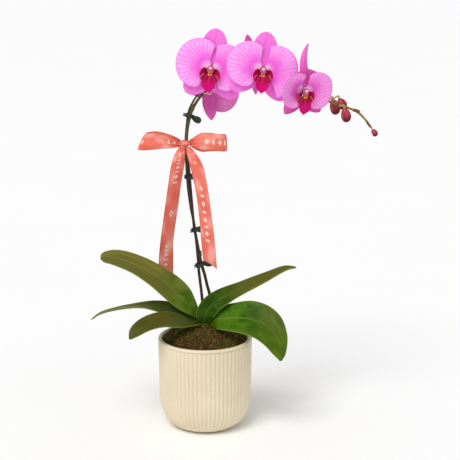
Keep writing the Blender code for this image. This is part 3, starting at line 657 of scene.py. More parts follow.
leaf = {
    "thick": 1.9 * mm, "channel": 0.16, "ribGroove": 0.9 * mm, "across": 28, "along": 76,
    # middle line (x, y, z from the crown), half width, lean of the face in degrees
    "upper_left": [
        (-10.6, 3, 9, 3, 50), (-17, 2, 20, 9, 45), (-27, 1, 32, 16, 38), (-42, 2, 47, 22, 30),
        (-68, 6, 67, 24, 22), (-98, 10, 85, 23.5, 20), (-128, 14, 96, 20.5, 22), (-148, 16, 98.5, 13.5, 24),
        (-155, 16, 97, 3, 24)],
    "middle_left": [
        (-9.9, 5, 3.5, 4, 20), (-22, 5, 9.5, 11, 20), (-42, 3, 18.5, 17, 16), (-68, 0, 25, 19, 8),
        (-96, -4, 28.5, 20, -5), (-126, -9, 27, 17, -10), (-152, -13, 21.5, 10, -11),
        (-168, -15, 12, 1.5, -6)],
    "lower_left": [
        (-6.9, -0.2, 1.5, 3.5, 12), (-18, -12, 6, 11, 14), (-38, -25, 12, 18, 16), (-64, -37, 16, 20, 18),
        (-85, -47.5, 13, 17, 22), (-100, -54, 5, 10.5, 28), (-108, -58, -4, 1.5, 30)],
    "upper_right": [
        (-1, -3.4, 4, 9, 88), (1, -5.5, 18, 14, 76), (11, -2, 32, 15, 54), (31, 6, 42, 16.5, 30),
        (58, 16, 52, 14, 14), (90, 27, 64, 12, 9), (120, 36, 76, 9, 8), (137, 41, 77, 1.5, 15)],
    "lower_right": [
        (9.4, -3, 4, 7, 50), (20, -10, 12, 18, 47), (42, -19, 16, 25, 45), (66, -29, 17.5, 29, 43),
        (87, -40, 11, 27, 42), (101, -50, -4, 20.5, 40), (109, -58, -24, 10.5, 38),
        (111, -61, -36, 1.5, 36)],
    # radius and height up the crown, and where each sheath starts in degrees and how high it reaches
    "crown": [(5.4, 0), (6.4, 3), (6.6, 8), (6.5, 13), (6.0, 16.5), (4.6, 19), (2.4, 20.6)],
    "sheaths": [(200, 15), (320, 12), (80, 17)],
    # deep green, light green, colour of the outer part, where that begins, and how much of it
    "colors": {
        "upper_left": (rgb(56, 88, 12), rgb(100, 128, 36), rgb(124, 118, 54), 0.26, 0.95),
        "middle_left": (rgb(42, 68, 10), rgb(80, 98, 26), rgb(102, 96, 44), 0.3, 0.9),
        "lower_left": (rgb(36, 52, 8), rgb(74, 82, 24), rgb(98, 90, 38), 0.2, 0.7),
        "upper_right": (rgb(28, 66, 6), rgb(68, 100, 16), rgb(108, 104, 40), 0.34, 0.9),
        "lower_right": (rgb(38, 82, 6), rgb(80, 122, 16), rgb(104, 110, 36), 0.3, 0.3),
    },
}


def leafSurface(stations, wave):
    count = 161
    rows = smoothRows(stations, count)
    middle = [at(*row[:3]) for row in rows]
    ways = wayAlong(middle)

    def point(s, t):
        i = round(t * (count - 1))
        half, lean = max(rows[i][3], 0.4) * mm, math.radians(rows[i][4])
        face = Vector((0, -math.sin(lean), math.cos(lean)))
        side = ways[i].cross(face).normalized()
        face = side.cross(ways[i])
        rise = leaf["channel"] * half * s * s
        rise -= leaf["ribGroove"] * math.exp(-(s / 0.07) ** 2) * math.sin(math.pi * min(1, t * 1.1)) ** 0.5
        rise += wave * mm * s ** 3 * math.sin(9 * t + wave) * math.sin(math.pi * t)
        return middle[i] - side * half * s + face * rise

    return point


def leafFinish(name, deep, light, outer, start, amount):
    made, b, shader = newFinish(name, Coat_Roughness=0.3, Specular_IOR_Level=0.015)
    u, v = b.across()
    where = b.place()
    middle = abs(u - 0.5) * 2
    patch = b.noise(where, 34, 4, 0.55)
    streak = b.noise(b.lay(u * 34, v * 2.2), 1.0, 4, 0.6)
    mottle = b.noise(where, 420, 3, 0.6)
    wobble = b.noise(b.lay(u * 3, v * 3), 2.0, 2, 0.5) * 0.02
    vein = ((u + wobble) * 2 * math.pi * 15).sine()
    vein = b.fade(vein, 0.55, 1.0)
    color = b.blend(b.fade(patch + streak * 0.6 - 0.3, 0.36, 0.66), deep, light)
    outward = b.fade(v + patch * 0.3 - 0.15, start, start + 0.3)
    color = b.coats(color,
        (outward * amount, outer),
        # one half of the blade turns darker olive toward the tip: partly the leaf's own tint, partly painted
        # shade
        (b.fade(u, 0.47, 0.5) * outward * 0.35, rgb(84, 88, 34)),
        (b.fade(streak, 0.42, 0.72) * 0.6, rgb(34, 50, 2)),
        # painted shade: darker deep green toward the base of the blade
        (b.fade(v, 0.3, 0.0) * 0.4, rgb(22, 58, 0)),
        (vein * 0.14, rgb(112, 128, 36)))
    rib = b.fade(middle, 0.05, 0.015)
    ribColor = b.blend(outward, rgb(140, 156, 70), rgb(66, 72, 26))
    color = b.coats(color,
        (rib * b.fade(v, 1.0, 0.8) * 0.5, ribColor),
        (b.fade(mottle, 0.4, 0.8) * 0.18, light))
    edge = b.fade(middle, 0.95, 0.995)
    color = b.blend(edge * 0.7, color, rgb(146, 160, 72))
    under = 1 - b.kept("back")  # a leaf's sheet is built from its underside
    color = b.blend(under * 0.45, color, rgb(126, 142, 72))
    blemish = b.fade(b.noise(where, 210, 2, 0.5), 0.73, 0.78)
    color = b.blend(blemish * 0.4, color, rgb(118, 96, 44))
    height = vein * -0.5 + streak * 0.6 + mottle * 0.3
    feed(b, shader, Base_Color=color, Roughness=0.36 + mottle * 0.16 + under * 0.14,
         Coat_Weight=b.fade(patch, 0.3, 0.7, 0.02, 0.12), Normal=b.bump(height, 0.28, 0.0006))
    return made


def makeLeaves():
    for number, (name, colors) in enumerate(leaf["colors"].items()):
        finish = leafFinish("leaf_" + name, *colors)
        made = thinPiece(f"leaf_{name}_blade", leafSurface(leaf[name], 1.2 + 0.3 * number),
                         leaf["across"], leaf["along"], leaf["thick"], finish)
        settle(made, "leaf", "leaf_" + name)

    # crown: a short stem wrapped in three sheaths
    sheath = leafFinish("leafSheath", rgb(58, 82, 24), rgb(92, 116, 44), rgb(126, 124, 66), 0.7, 0.5)
    low = plant + Vector((-2 * mm, 5 * mm, -6 * mm))
    rings = []
    for radius, high in leaf["crown"]:
        ring = []
        for a in circle(36):
            lumpy = radius + 0.25 * math.sin(7 * a)
            ring.append(low + Vector((lumpy * math.cos(a), lumpy * math.sin(a), high)) * mm)
        rings.append(ring)
    pieces = [ringPiece("crown_stem", rings, sheath)]
    for number, (start, top) in enumerate(leaf["sheaths"]):
        def wrap(s, t, start=start, top=top, number=number):
            angle = math.radians(start + s * 62 * (1 - 0.45 * t))
            radius = 7.0 + 0.35 * number + 1.2 * t ** 2
            return low + Vector((radius * math.cos(angle), radius * math.sin(angle),
                                 1 + top * t * (1 - 0.35 * s * s))) * mm
        pieces.append(thinPiece(f"sheath{number}", wrap, 14, 12, 0.9 * mm, sheath))
    settle(joinPieces("crown_sheaths", pieces), "stem", "crown")


makeLeaves()
print("leaves done")

# Flower spike with its joints, bracts and stalks, and the stake beside it

spike = {
    "line": [
        (0, 8, 17.5, 2.4), (5.5, 11, 28, 2.4), (7, 13, 41, 2.4), (3, 12.5, 58, 2.3), (-1, 11, 76, 2.3),
        (-6, 10, 93, 2.6), (-9, 10, 111, 2.2), (-13, 10, 133, 2.2), (-17, 10, 160, 2.1), (-20, 10, 176, 2.1),
        (-24, 10, 208, 2.1), (-26, 10, 246, 2.1), (-25, 10, 283, 2.0), (-22, 10, 303, 2.0),
        (-18, 10, 318, 2.3), (-9, 10, 334, 2.0), (3, 10, 347, 2.0), (20, 11, 361, 2.0), (50, 13, 371, 1.9),
        (85, 14, 370, 1.8), (120, 14, 359, 1.8), (150, 13, 346, 1.7), (181, 12, 331, 1.7),
        (209, 10, 322, 1.6), (223, 9, 315, 1.7), (237, 7, 300, 1.2), (241.8, 6.2, 293.2, 1.2)],
    "joints": (0.02, 0.215, 0.545, 0.9, 0.952),  # shares of its length with a ring and a bract
    "stalkRadius": 1.3 * mm,
}
stake = {
    "line": [
        (-3, 15.5, 10), (-5, 15.2, 41), (-9, 15, 77), (-10, 15, 94), (-13, 15, 128), (-16, 15, 147),
        (-19, 15, 185), (-23, 15, 235), (-27, 15, 270), (-25, 15, 300), (-22, 14.8, 318),
        (-16, 14.5, 331), (-9, 14.3, 341), (2, 14.3, 350)],
    "radius": 2.2 * mm, "tipRadius": 1.1 * mm, "buried": 80 * mm,
}


def stemFinish(name, low, high, tip, speckle):
    made, b, shader = newFinish(name, Coat_Roughness=0.35, Subsurface_Weight=0.03, Subsurface_Scale=0.002,
                                Specular_IOR_Level=0.25)
    where = b.place()
    x, y, z = b.parts(where)
    u, v = b.across()
    streak = b.noise(b.lay(u * 9, v * 26), 1.0, 3, 0.6)
    spots = b.fade(b.noise(where, 950, 3, 0.6), 0.5, 0.68)
    color = b.blend(b.fade(z, plant.z + 245 * mm, plant.z + 285 * mm), low, high)
    color = b.blend(b.fade(x, 0.13, 0.22) * b.fade(z, plant.z + 0.2, plant.z + 0.3), color, tip)
    color = b.blend(b.fade(streak, 0.35, 0.7) * 0.5, color, b.blend(0.5, color, speckle))
    color = b.blend(spots * 0.55, color, speckle)
    feed(b, shader, Base_Color=color, Roughness=0.4 + streak * 0.25,
         Coat_Weight=b.fade(streak, 0.3, 0.7, 0.0, 0.1), Normal=b.bump(streak + spots * 0.3, 0.35, 0.0005))
    return made


def bractAt(name, center, way, side, length, radius, finish):
    # a small pointed scale that hugs the stem
    other = way.cross(side)

    def point(s, t):
        angle = s * 1.9 * (1 - t) ** 0.6
        reach = radius + 0.35 * mm + 0.5 * mm * t * t
        return center + way * length * t + (side * math.cos(angle) + other * math.sin(angle)) * reach

    return thinPiece(name, point, 10, 9, 0.5 * mm, finish)


def stalkPiece(name, start, middle, end, inward, finish, radius):
    centers = smoothRows([start, middle, end - inward * 4 * mm, end], 22)
    radii = [radius * (1 + 0.3 * abs(i / 21 - 0.4)) for i in range(22)]
    return stemPiece(name, centers, radii, 12, finish)


def makeSpike(stalks):
    green = stemFinish("spikeStem", rgb(40, 38, 6), rgb(80, 84, 14), rgb(148, 118, 46), rgb(84, 44, 24))
    pale = stemFinish("stalkGreen", rgb(112, 120, 40), rgb(140, 140, 54), rgb(192, 176, 84),
                      rgb(150, 96, 60))
    husk = stemFinish("bractHusk", rgb(62, 58, 16), rgb(86, 84, 24), rgb(136, 66, 40), rgb(84, 48, 26))
    count = 240
    rows = smoothRows(spike["line"], count)
    centers = [at(*row[:3]) for row in rows]
    radii = []
    for i, row in enumerate(rows):
        swell = sum(math.exp(-((i / (count - 1) - joint) / 0.0035) ** 2) for joint in spike["joints"])
        radii.append((row[3] + 0.55 * swell) * mm)
    pieces = [stemPiece("spike_stem", centers, radii, 14, green)]
    ways = wayAlong(centers)
    for number, joint in enumerate(spike["joints"]):
        i = round(joint * (count - 1))
        side = Vector((1, -0.4, 0)) if number % 2 else Vector((-1, -0.5, 0))
        side = (side - ways[i] * side.dot(ways[i])).normalized()
        pieces.append(bractAt(f"bract{number}", centers[i], ways[i], side, 9 * mm, radii[i], husk))
    for name, start, middle, end, inward, radius in stalks:
        pieces.append(stalkPiece(name, start, middle, end, inward, pale, radius))
        foot = (middle - start).normalized()
        side = Vector((0, -1, 0.3))
        side = (side - foot * side.dot(foot)).normalized()
        pieces.append(bractAt(name + "Bract", start, foot, side, 5 * mm, 1.9 * mm, husk))
    settle(joinPieces("spike_and_stalks", pieces), "stem", "flower_spike")


def makeStake():
    made, b, shader = newFinish("coatedWire", Coat_Roughness=0.25, Specular_IOR_Level=0.3)
    where = b.place()
    u, v = b.across()
    grain = b.noise(where, 700, 3, 0.6)
    band = b.noise(b.lay(u * 3, v * 60), 1.0, 2, 0.5)
    color = b.blend(b.fade(band, 0.3, 0.7), rgb(52, 18, 24), rgb(78, 28, 36))
    color = b.blend(b.fade(grain, 0.55, 0.75) * 0.4, color, rgb(112, 62, 60))
    feed(b, shader, Base_Color=color, Roughness=0.34 + grain * 0.2, Coat_Weight=band * 0.2,
         Normal=b.bump(grain, 0.25, 0.0004))
    rows = smoothRows(stake["line"], 110)
    centers = [at(*row) for row in rows]
    low = centers[0] - Vector((0, 0, stake["buried"]))
    centers = [low, low + Vector((0, 0, 1 * mm)), *centers]
    radii = [stake["radius"] * 0.6, stake["radius"]]
    radii += [stake["radius"] + (stake["tipRadius"] - stake["radius"]) * (i / 109) ** 2 for i in range(110)]
    end = centers[-1] - centers[-2]
    centers.append(centers[-1] + end * 0.4)
    radii.append(stake["tipRadius"] * 0.5)
    settle(stemPiece("stake_wire", centers, radii, 16, made), "stake", "support_stake")


makeStake()
print("stake done")

# Claw clips: a collar with interlocking teeth on one side, two thumb pads on the other

clip = {
    "heights": {"clip_top": (311, 0), "clip_upper": (222, -60), "clip_lower": (142, -50),
                "clip_bottom": (89, -15)},
    "wall": 1.3 * mm, "tall": 5 * mm, "pad": (6.2 * mm, 1.0 * mm, 4.6 * mm), "padLean": 12, "teeth": 4,
    # the collar's section: share of the wall outward, share of the height up
    "section": [(0, -0.42), (0.18, -0.5), (0.82, -0.5), (1, -0.42),
                (1, 0.42), (0.82, 0.5), (0.18, 0.5), (0, 0.42)],
}


def clipFinish():
    made, b, shader = newFinish("clipPlastic", Coat_Roughness=0.25, IOR=1.45, Specular_IOR_Level=0.3)
    where = b.place()
    grain = b.noise(where, 1100, 3, 0.55)
    cloud = b.noise(where, 90, 2, 0.5)
    color = b.blend(b.fade(cloud, 0.3, 0.7), rgb(22, 34, 26), rgb(40, 56, 42))
    color = b.blend(b.fade(grain, 0.6, 0.8) * 0.35, color, rgb(78, 96, 80))
    feed(b, shader, Base_Color=color, Roughness=0.3 + grain * 0.18, Coat_Weight=cloud * 0.2,
         Normal=b.bump(grain, 0.2, 0.0003))
    return made


def onHeight(rows, height):
    for low, high in zip(rows, rows[1:]):
        if low[2] <= height < high[2]:
            share = (height - low[2]) / (high[2] - low[2])
            return low + (high - low) * share, Vector((high - low)[:3]).normalized()


def collarPiece(place, wide, deep, finish, count=41):
    # a closed band with rounded edges, around the stem and the wire
    section = clip["section"]
    points, faces, uvs = [], [], []
    for a in circle(count):
        for out, up in section:
            reach = clip["wall"] * out
            points.append(tuple(place @ Vector((
                (wide + reach) * math.cos(a), (deep + reach) * math.sin(a), clip["tall"] * up))))
    sides = len(section)
    for i in range(count):
        for j in range(sides):
            k, n = (j + 1) % sides, (i + 1) % count
            faces.append((i * sides + j, i * sides + k, n * sides + k, n * sides + j))
            left, right, low, high = i / count, (i + 1) / count, j / sides, (j + 1) / sides
            uvs += [(left, low), (left, high), (right, high), (right, low)]
    return meshPiece("collar", points, faces, uvs, finish)


def makeClips():
    plastic = clipFinish()
    stems = smoothRows(spike["line"], 240)
    wires = smoothRows(stake["line"], 110)
    for name, (height, turn) in clip["heights"].items():
        stem, along = onHeight(stems, height)
        wire, _ = onHeight(wires, height)
        middle = (at(*stem[:3]) + at(*wire[:3])) / 2
        apart = at(*stem[:3]) - at(*wire[:3])
        deep = abs(apart.y) / 2 + stem[3] * mm + 0.9 * mm
        wide = abs(apart.x) / 2 + stem[3] * mm + 1.2 * mm
        side = Vector((1, 0, 0))
        side = (side - along * side.dot(along)).normalized()
        front = side.cross(along)
        place = Matrix.Translation(middle) @ Matrix((
            (side.x, front.x, along.x, 0), (side.y, front.y, along.y, 0),
            (side.z, front.z, along.z, 0), (0, 0, 0, 1)))
        turned = place @ Matrix.Rotation(math.radians(turn), 4, "Z")
        wall, tall = clip["wall"], clip["tall"]
        pieces = [collarPiece(place, wide, deep, plastic)]
        reach = max(wide, deep) + wall
        for way in (-1, 1):  # two thumb pads, a little open
            def pad(s, t, way=way):
                x = reach - 1.2 * mm + (clip["pad"][0] * 2 + 1 * mm) * t
                half = clip["pad"][2] * min(1, 0.45 + 1.6 * t) * (1 - max(0, t - 0.62) ** 2 / 0.16) ** 0.5
                z = half * s
                y = way * (0.5 * mm + 1.6 * mm * t) + way * 0.5 * mm * s * s
                lean = Matrix.Rotation(math.radians(clip["padLean"]), 3, "Y")
                return turned @ (lean @ Vector((x, y, z)))
            pieces.append(thinPiece("pad", pad, 12, 12, clip["pad"][1], plastic, 0.6))
        barrel = [turned @ Vector((reach + 0.2 * mm, 0, z * tall * 0.55)) for z in (-1, -0.9, 0, 0.9, 1)]
        radii = [radius * mm for radius in (0.9, 1.2, 1.2, 1.2, 0.9)]
        pieces.append(stemPiece("barrel", barrel, radii, 12, plastic))
        for row in range(clip["teeth"]):
            z = (row - (clip["teeth"] - 1) / 2) * tall / clip["teeth"]
            way = 1 if row % 2 else -1
            hook = []
            for k in range(10):
                a = math.pi * (0.25 + 0.9 * k / 9)
                out = -reach + 0.9 * mm * math.cos(a) - 0.5 * mm
                hook.append(turned @ Vector((out, way * 2.1 * mm * math.sin(a), z)))
            pieces.append(stemPiece("tooth", hook, [0.62 * mm] * 8 + [0.45 * mm, 0.2 * mm], 8, plastic))
        settle(joinPieces(name + "_claw", pieces), "clip", name)


makeClips()
print("clips done")

# Flowers

flower = {
    "tepalThick": 0.75 * mm, "column": 3.0 * mm, "throat": 3.6 * mm, "sepalBack": 1.7 * mm,
    "sepalLayer": 1.3 * mm, "columnBack": 4.2 * mm, "lipForward": 2.6 * mm, "lipThick": 0.8 * mm,
    # in degrees: the middle of a side lobe and how far it reaches to both sides, and the curves forward
    "earTurn": 66, "earSpread": 39, "earCurve": 116, "tongueCurve": 140,
    # in millimetres: foot, length, middle, half width and how far behind the throat
    "shoulder": (4, 26.5, 2, 18, 1.9),
    # the column from its seat forward: place forward, share of its radius, drop
    "columnStations": [
        (-4.2, 0.72, 0), (-3.6, 1, 0), (-1.5, 1, 0), (0.6, 1.15, 0), (2.6, 1.5, 0.3), (5, 1.75, 0.7),
        (7.2, 1.7, 1.1), (8.8, 1.35, 1.4), (9.7, 0.85, 1.5), (10.1, 0.3, 1.5)],
    # sepals: angle, length, half width, where widest, how far back, fold;
    # petals: angle, spread, length, narrowing, how sudden, lean of the widest part, cup;
    # lip: reach of its side lobes, of its tongue, and depth; shadeDepth: how much painted shade darkens the
    # whole flower, 0 facing the front, more in shade
    "blooms": {
        "flower_a": dict(
            center=(10.4, -10, 380.6), yaw=-4, pitch=2, roll=8, root=(8, 11, 351),
            dorsal_sepal=(0, 57, 19, 0.95, 3, 0.1), left_lateral_sepal=(-140, 50, 17, 1.0, 5, 0.1),
            right_lateral_sepal=(131, 54, 17, 1.0, 5, 0.1),
            left_petal=(-75, 79, 51.5, 0.4, 2.4, 0.04, 4), right_petal=(80, 73, 50, 0.38, 2.4, -0.05, 2),
            lip=(15.5, 34, 11), shadeDepth=0.0, blunt=0.46),
        "flower_b": dict(
            center=(83.4, -24, 380.6), yaw=4, pitch=2, roll=6, root=(76, 13.7, 370.5),
            dorsal_sepal=(0, 53, 18, 0.95, 3, 0.1), left_lateral_sepal=(-127, 52, 14, 1.0, 5, 0.1),
            right_lateral_sepal=(139, 53, 15, 1.0, 5, 0.1),
            left_petal=(-77, 72, 52, 0.46, 2.4, 0.05, 4), right_petal=(80, 68, 50, 0.2, 2.2, 0.2, 4),
            lip=(15, 33, 11), shadeDepth=0.0, blunt=0.46),
        "flower_c": dict(
            center=(140.4, -36, 353), yaw=20, pitch=-8, roll=4, root=(132, 13.6, 354),
            dorsal_sepal=(5, 63, 7, 0.6, 16, 0.8), left_lateral_sepal=(-148, 42, 12, 1.0, 3, 0.2),
            right_lateral_sepal=(134, 45, 13, 1.0, 3, 0.2),
            left_petal=(-82, 72, 40, 0.42, 2.4, 0, 20), right_petal=(86, 72, 42, 0.46, 2.4, 0, 7),
            lip=(14, 33, 12), shadeDepth=0.35, blunt=0.62),
        "flower_d": dict(
            center=(5.5, 32, 350), yaw=184, pitch=-10, roll=-25, root=(20, 11, 361),
            dorsal_sepal=(0, 44, 15, 0.95, 2, 0.1), left_lateral_sepal=(-150, 48, 11, 0.85, 3, 0.4),
            right_lateral_sepal=(140, 25, 9, 1.0, 3, 0.1),
            left_petal=(-88, 66, 47, 0.44, 2.4, 0, 5), right_petal=(84, 66, 30, 0.44, 2.4, 0, 5),
            lip=(8, 17, 7), shadeDepth=0.8, blunt=0.62),
        "flower_e": dict(
            center=(69, 34, 383.2), yaw=176, pitch=0, roll=6, root=(64, 13.3, 371.3),
            dorsal_sepal=(3, 43, 8, 0.9, 2, 0.2), left_lateral_sepal=(-178, 44, 5.5, 1.0, 2, 0.2),
            right_lateral_sepal=(140, 34, 11, 1.0, 3, 0.1),
            left_petal=(-84, 60, 32, 0.44, 2.4, 0, 5), right_petal=(78, 60, 32, 0.44, 2.4, 0, 5),
            lip=(10, 20, 8), shadeDepth=0.8, blunt=0.62),
    },
}


def bloomFrame(spec):
    yaw, pitch, roll = (math.radians(spec[key]) for key in ("yaw", "pitch", "roll"))
    face = Vector((math.sin(yaw) * math.cos(pitch), -math.cos(yaw) * math.cos(pitch), math.sin(pitch)))
    up = Vector((-math.sin(yaw) * math.sin(pitch), math.cos(yaw) * math.sin(pitch), math.cos(pitch)))
    right = up.cross(face)
    up, right = (up * math.cos(roll) + right * math.sin(roll), right * math.cos(roll) - up * math.sin(roll))
    center = at(*spec["center"])

    def place(x, y, forward):
        return center + right * x + up * y + face * forward

    return place


def sepalSurface(place, layer, blunt, sway, angle, length, half, widest, back, fold):
    turn = math.radians(angle)
    start = flower["throat"]

    def point(s, t):
        along = start + (length * mm - start) * t
        across = s * max(half * mm * math.sin(math.pi * (0.04 + 0.96 * t) ** widest) ** blunt, 0.9 * mm)
        across *= min(1, 0.3 + 2.8 * t)
        aside = sway * mm * math.sin(math.pi * t ** 1.6)
        forward = -flower["sepalBack"] - layer * flower["sepalLayer"] - back * mm * t ** 2
        forward -= fold * abs(across) * t
        # a groove along the middle, and a slight wave at the edge
        forward -= 0.5 * mm * math.exp(-(s / 0.12) ** 2) * math.sin(math.pi * t)
        forward += 0.5 * mm * math.sin(7 * t + 2 * s) * s * s * t
        across += aside
        return place(along * math.sin(turn) + across * math.cos(turn),
                     along * math.cos(turn) - across * math.sin(turn), forward)

    return point


def shoulderSurface(place):
    # the broad foot of a folded sepal, seen as a band above the petals
    foot, length, middle, half, behind = flower["shoulder"]

    def point(s, t):
        along = (foot + length * t) * (1 - (0.26 - 0.1 * s) * s * s * t)
        across = middle + half * s * (0.3 + 0.7 * t)
        return place(across * mm, along * mm, (-behind - 1.5 * t * t) * mm)

    return point


def petalSurface(place, angle, spread, length, narrowing, sudden, skew, cup, phase):
    start = flower["throat"]

    def point(s, t):
        turn = math.radians(angle + s * spread * (0.7 + 0.3 * t ** 0.6))
        edge = length * mm * (1 - narrowing * abs(s - skew) ** sudden)
        edge *= 1 + 0.012 * math.sin(5 * s + phase)
        along = start + (edge - start) * t
        # cupped, waved toward the rim, the rim turned back, and a low ridge along the middle
        forward = cup * mm * t ** 2 * (1 - 0.4 * s ** 2)
        forward += 1.0 * mm * t ** 3 * math.sin(6.5 * s + phase)
        forward -= 2.2 * mm * max(0, t - 0.72) ** 2 / 0.0784
        forward += 0.9 * mm * math.sin(math.pi * t) * math.cos(1.6 * s)
        return place(along * math.sin(turn), along * math.cos(turn), forward)

    return point


def petalFinish(name, shadeDepth, petal):
    made, b, shader = newFinish(name, Subsurface_Weight=0.1, Subsurface_Scale=0.003,
                                Subsurface_Radius=(1.0, 0.35, 0.8), Specular_IOR_Level=0.1,
                                Sheen_Weight=0.03, Sheen_Roughness=0.45)
    u, v = b.across()
    where = b.place()
    side = abs(u - 0.5) * 2
    soft = b.noise(where, 60, 3, 0.5)
    grain = b.noise(where, 1600, 2, 0.6)
    bend = b.noise(b.lay(u * 5, v * 4), 1.6, 3, 0.6) - 0.5
    count = 19 if petal else 11
    vein = ((u + bend * 0.035) * 2 * math.pi * count).sine()
    finer = ((u + bend * 0.05) * 2 * math.pi * count * 2 + 1.3).sine()
    broken = b.fade(b.noise(b.lay(u * 30, v * 5), 1.0, 3, 0.6), 0.3, 0.62)
    vein = b.fade(vein, 0.25, 1.0) * broken + b.fade(finer, 0.35, 1.0) * b.fade(v, 0.5, 0.8) * 0.5
    net = b.fade(b.cells(b.lay(u * count * 1.3 + bend * 3, v * 7 + bend * 2), 1.0), 0.12, 0.02)
    light = (vein * 0.7 + net * 0.25).least(1.0)
    # painted shade: every colour blended by shadeDepth runs from its lit value to a darker shaded copy
    deep = b.blend(shadeDepth, rgb(252, 92, 226), rgb(206, 52, 158))
    wide = b.blend(shadeDepth, rgb(253, 138, 238), rgb(220, 92, 178))
    pale = b.blend(shadeDepth, rgb(255, 212, 250), rgb(244, 176, 218))
    if petal:
        outer = b.fade(v + soft * 0.2 - 0.1, 0.3, 0.85)
        color = b.blend(outer, deep, wide)
        color = b.coats(color,
            (light * b.fade(v, 0.25, 0.6) * b.fade(v, 1.03, 0.93) * 0.75, pale),
            (light * b.fade(v, 0.45, 0.1) * 0.2, pale),
            (b.fade(v, 0.3, 0.05) * 0.85, rgb(255, 224, 247)))
    else:
        middle = b.blend(shadeDepth, rgb(244, 84, 206), rgb(202, 46, 150))
        rib = b.blend(shadeDepth, rgb(232, 80, 200), rgb(170, 34, 124))
        color = b.blend(b.fade(soft, 0.3, 0.7) * 0.3 + b.fade(v, 0.3, 0.95) * 0.3, middle, wide)
        color = b.coats(color,
            (light * 0.22, pale),
            (b.fade(side, 0.14, 0.02) * 0.35, rib))
    color = b.blend(b.fade(side, 0.93, 1.0) * 0.35, color, wide)
    reverse = b.blend(shadeDepth, rgb(240, 160, 226), rgb(232, 150, 200) if petal else rgb(214, 84, 168))
    color = b.coats(color,
        (b.kept("back") * 0.35, reverse),
        (b.fade(grain, 0.3, 0.8) * 0.12, pale))
    height = vein * -0.6 + net * 0.2 + grain * 0.5
    feed(b, shader, Base_Color=color, Roughness=0.46 + grain * 0.16, Normal=b.bump(height, 0.3, 0.0005))
    return made


def lipFinish(name, shadeDepth, tongue):
    made, b, shader = newFinish(name, Coat_Roughness=0.3, Subsurface_Weight=0.06, Subsurface_Scale=0.002,
                                Specular_IOR_Level=0.06)
    u, v = b.across()
    where = b.place()
    side = abs(u - 0.5) * 2
    soft = b.noise(where, 240, 3, 0.6)
    grain = b.noise(where, 1800, 2, 0.6)
    stripe = b.fade(((u + soft * 0.03) * 2 * math.pi * (7 if tongue else 6)).sine(), 0.3, 0.95)
    if tongue:
        color = b.blend(b.fade(v, 0.3, 0.66), rgb(172, 2, 62), rgb(216, 0, 120))
        color = b.coats(color,
            (b.fade(side, 0.2, 0.03) * b.fade(v, 0.7, 0.3) * 0.4, rgb(232, 70, 140)),
            (stripe * 0.4, rgb(140, 0, 60)),
            (b.fade(v, 0.9, 1.0) * 0.7, rgb(250, 186, 210)),
            (b.fade(side, 0.9, 1.0) * 0.15, rgb(232, 60, 150)))
    else:
        color = b.blend(b.fade(v, 0.15, 0.8), rgb(156, 0, 58), rgb(190, 0, 84))
        color = b.coats(color,
            (stripe * 0.4 * b.fade(v, 0.95, 0.4), rgb(118, 2, 46)),
            (b.fade(v, 0.16, 0.03) * 0.5, rgb(214, 100, 70)),
            (b.fade(u, 0.75, 1.0) * b.fade(v, 0.3, 0.9) * 0.3, rgb(206, 60, 120)))
    color = b.coats(color,
        # painted shade: the lip darkens as shadeDepth grows
        (shadeDepth * 0.15, rgb(150, 6, 70)),
        (b.fade(grain, 0.45, 0.8) * 0.08, rgb(255, 120, 180)))
    feed(b, shader, Base_Color=color, Roughness=0.34 + grain * 0.16,
         Coat_Weight=b.fade(soft, 0.3, 0.7, 0.0, 0.08), Normal=b.bump(stripe * -0.5 + grain, 0.3, 0.0004))
    return made


def goldFinish():
    made, b, shader = newFinish("callusGold", Subsurface_Weight=0.1, Subsurface_Scale=0.002)
    where = b.place()
    spot = b.fade(b.noise(where, 1500, 2, 0.5), 0.56, 0.66)
    soft = b.noise(where, 500, 3, 0.5)
    color = b.blend(b.fade(soft, 0.3, 0.7), rgb(238, 140, 44), rgb(250, 186, 74))
    color = b.blend(spot * 0.8, color, rgb(178, 24, 40))
    feed(b, shader, Base_Color=color, Roughness=0.4 + soft * 0.2, Normal=b.bump(soft, 0.4, 0.0004))
    return made


def columnFinish(name, foot, cap):
    made, b, shader = newFinish(name, Subsurface_Weight=0.15, Subsurface_Scale=0.003,
                                Subsurface_Radius=(1.0, 0.4, 0.7))
    u, v = b.across()
    where = b.place()
    soft = b.noise(where, 420, 3, 0.5)
    grain = b.noise(where, 2200, 2, 0.5)
    color = b.blend(b.fade(v + soft * 0.2, 0.25, 0.6), foot, cap)
    color = b.blend(b.fade(soft, 0.56, 0.72) * 0.4, color, rgb(206, 70, 138))
    feed(b, shader, Base_Color=color, Roughness=0.38 + grain * 0.2, Normal=b.bump(grain, 0.25, 0.0003))
    return made


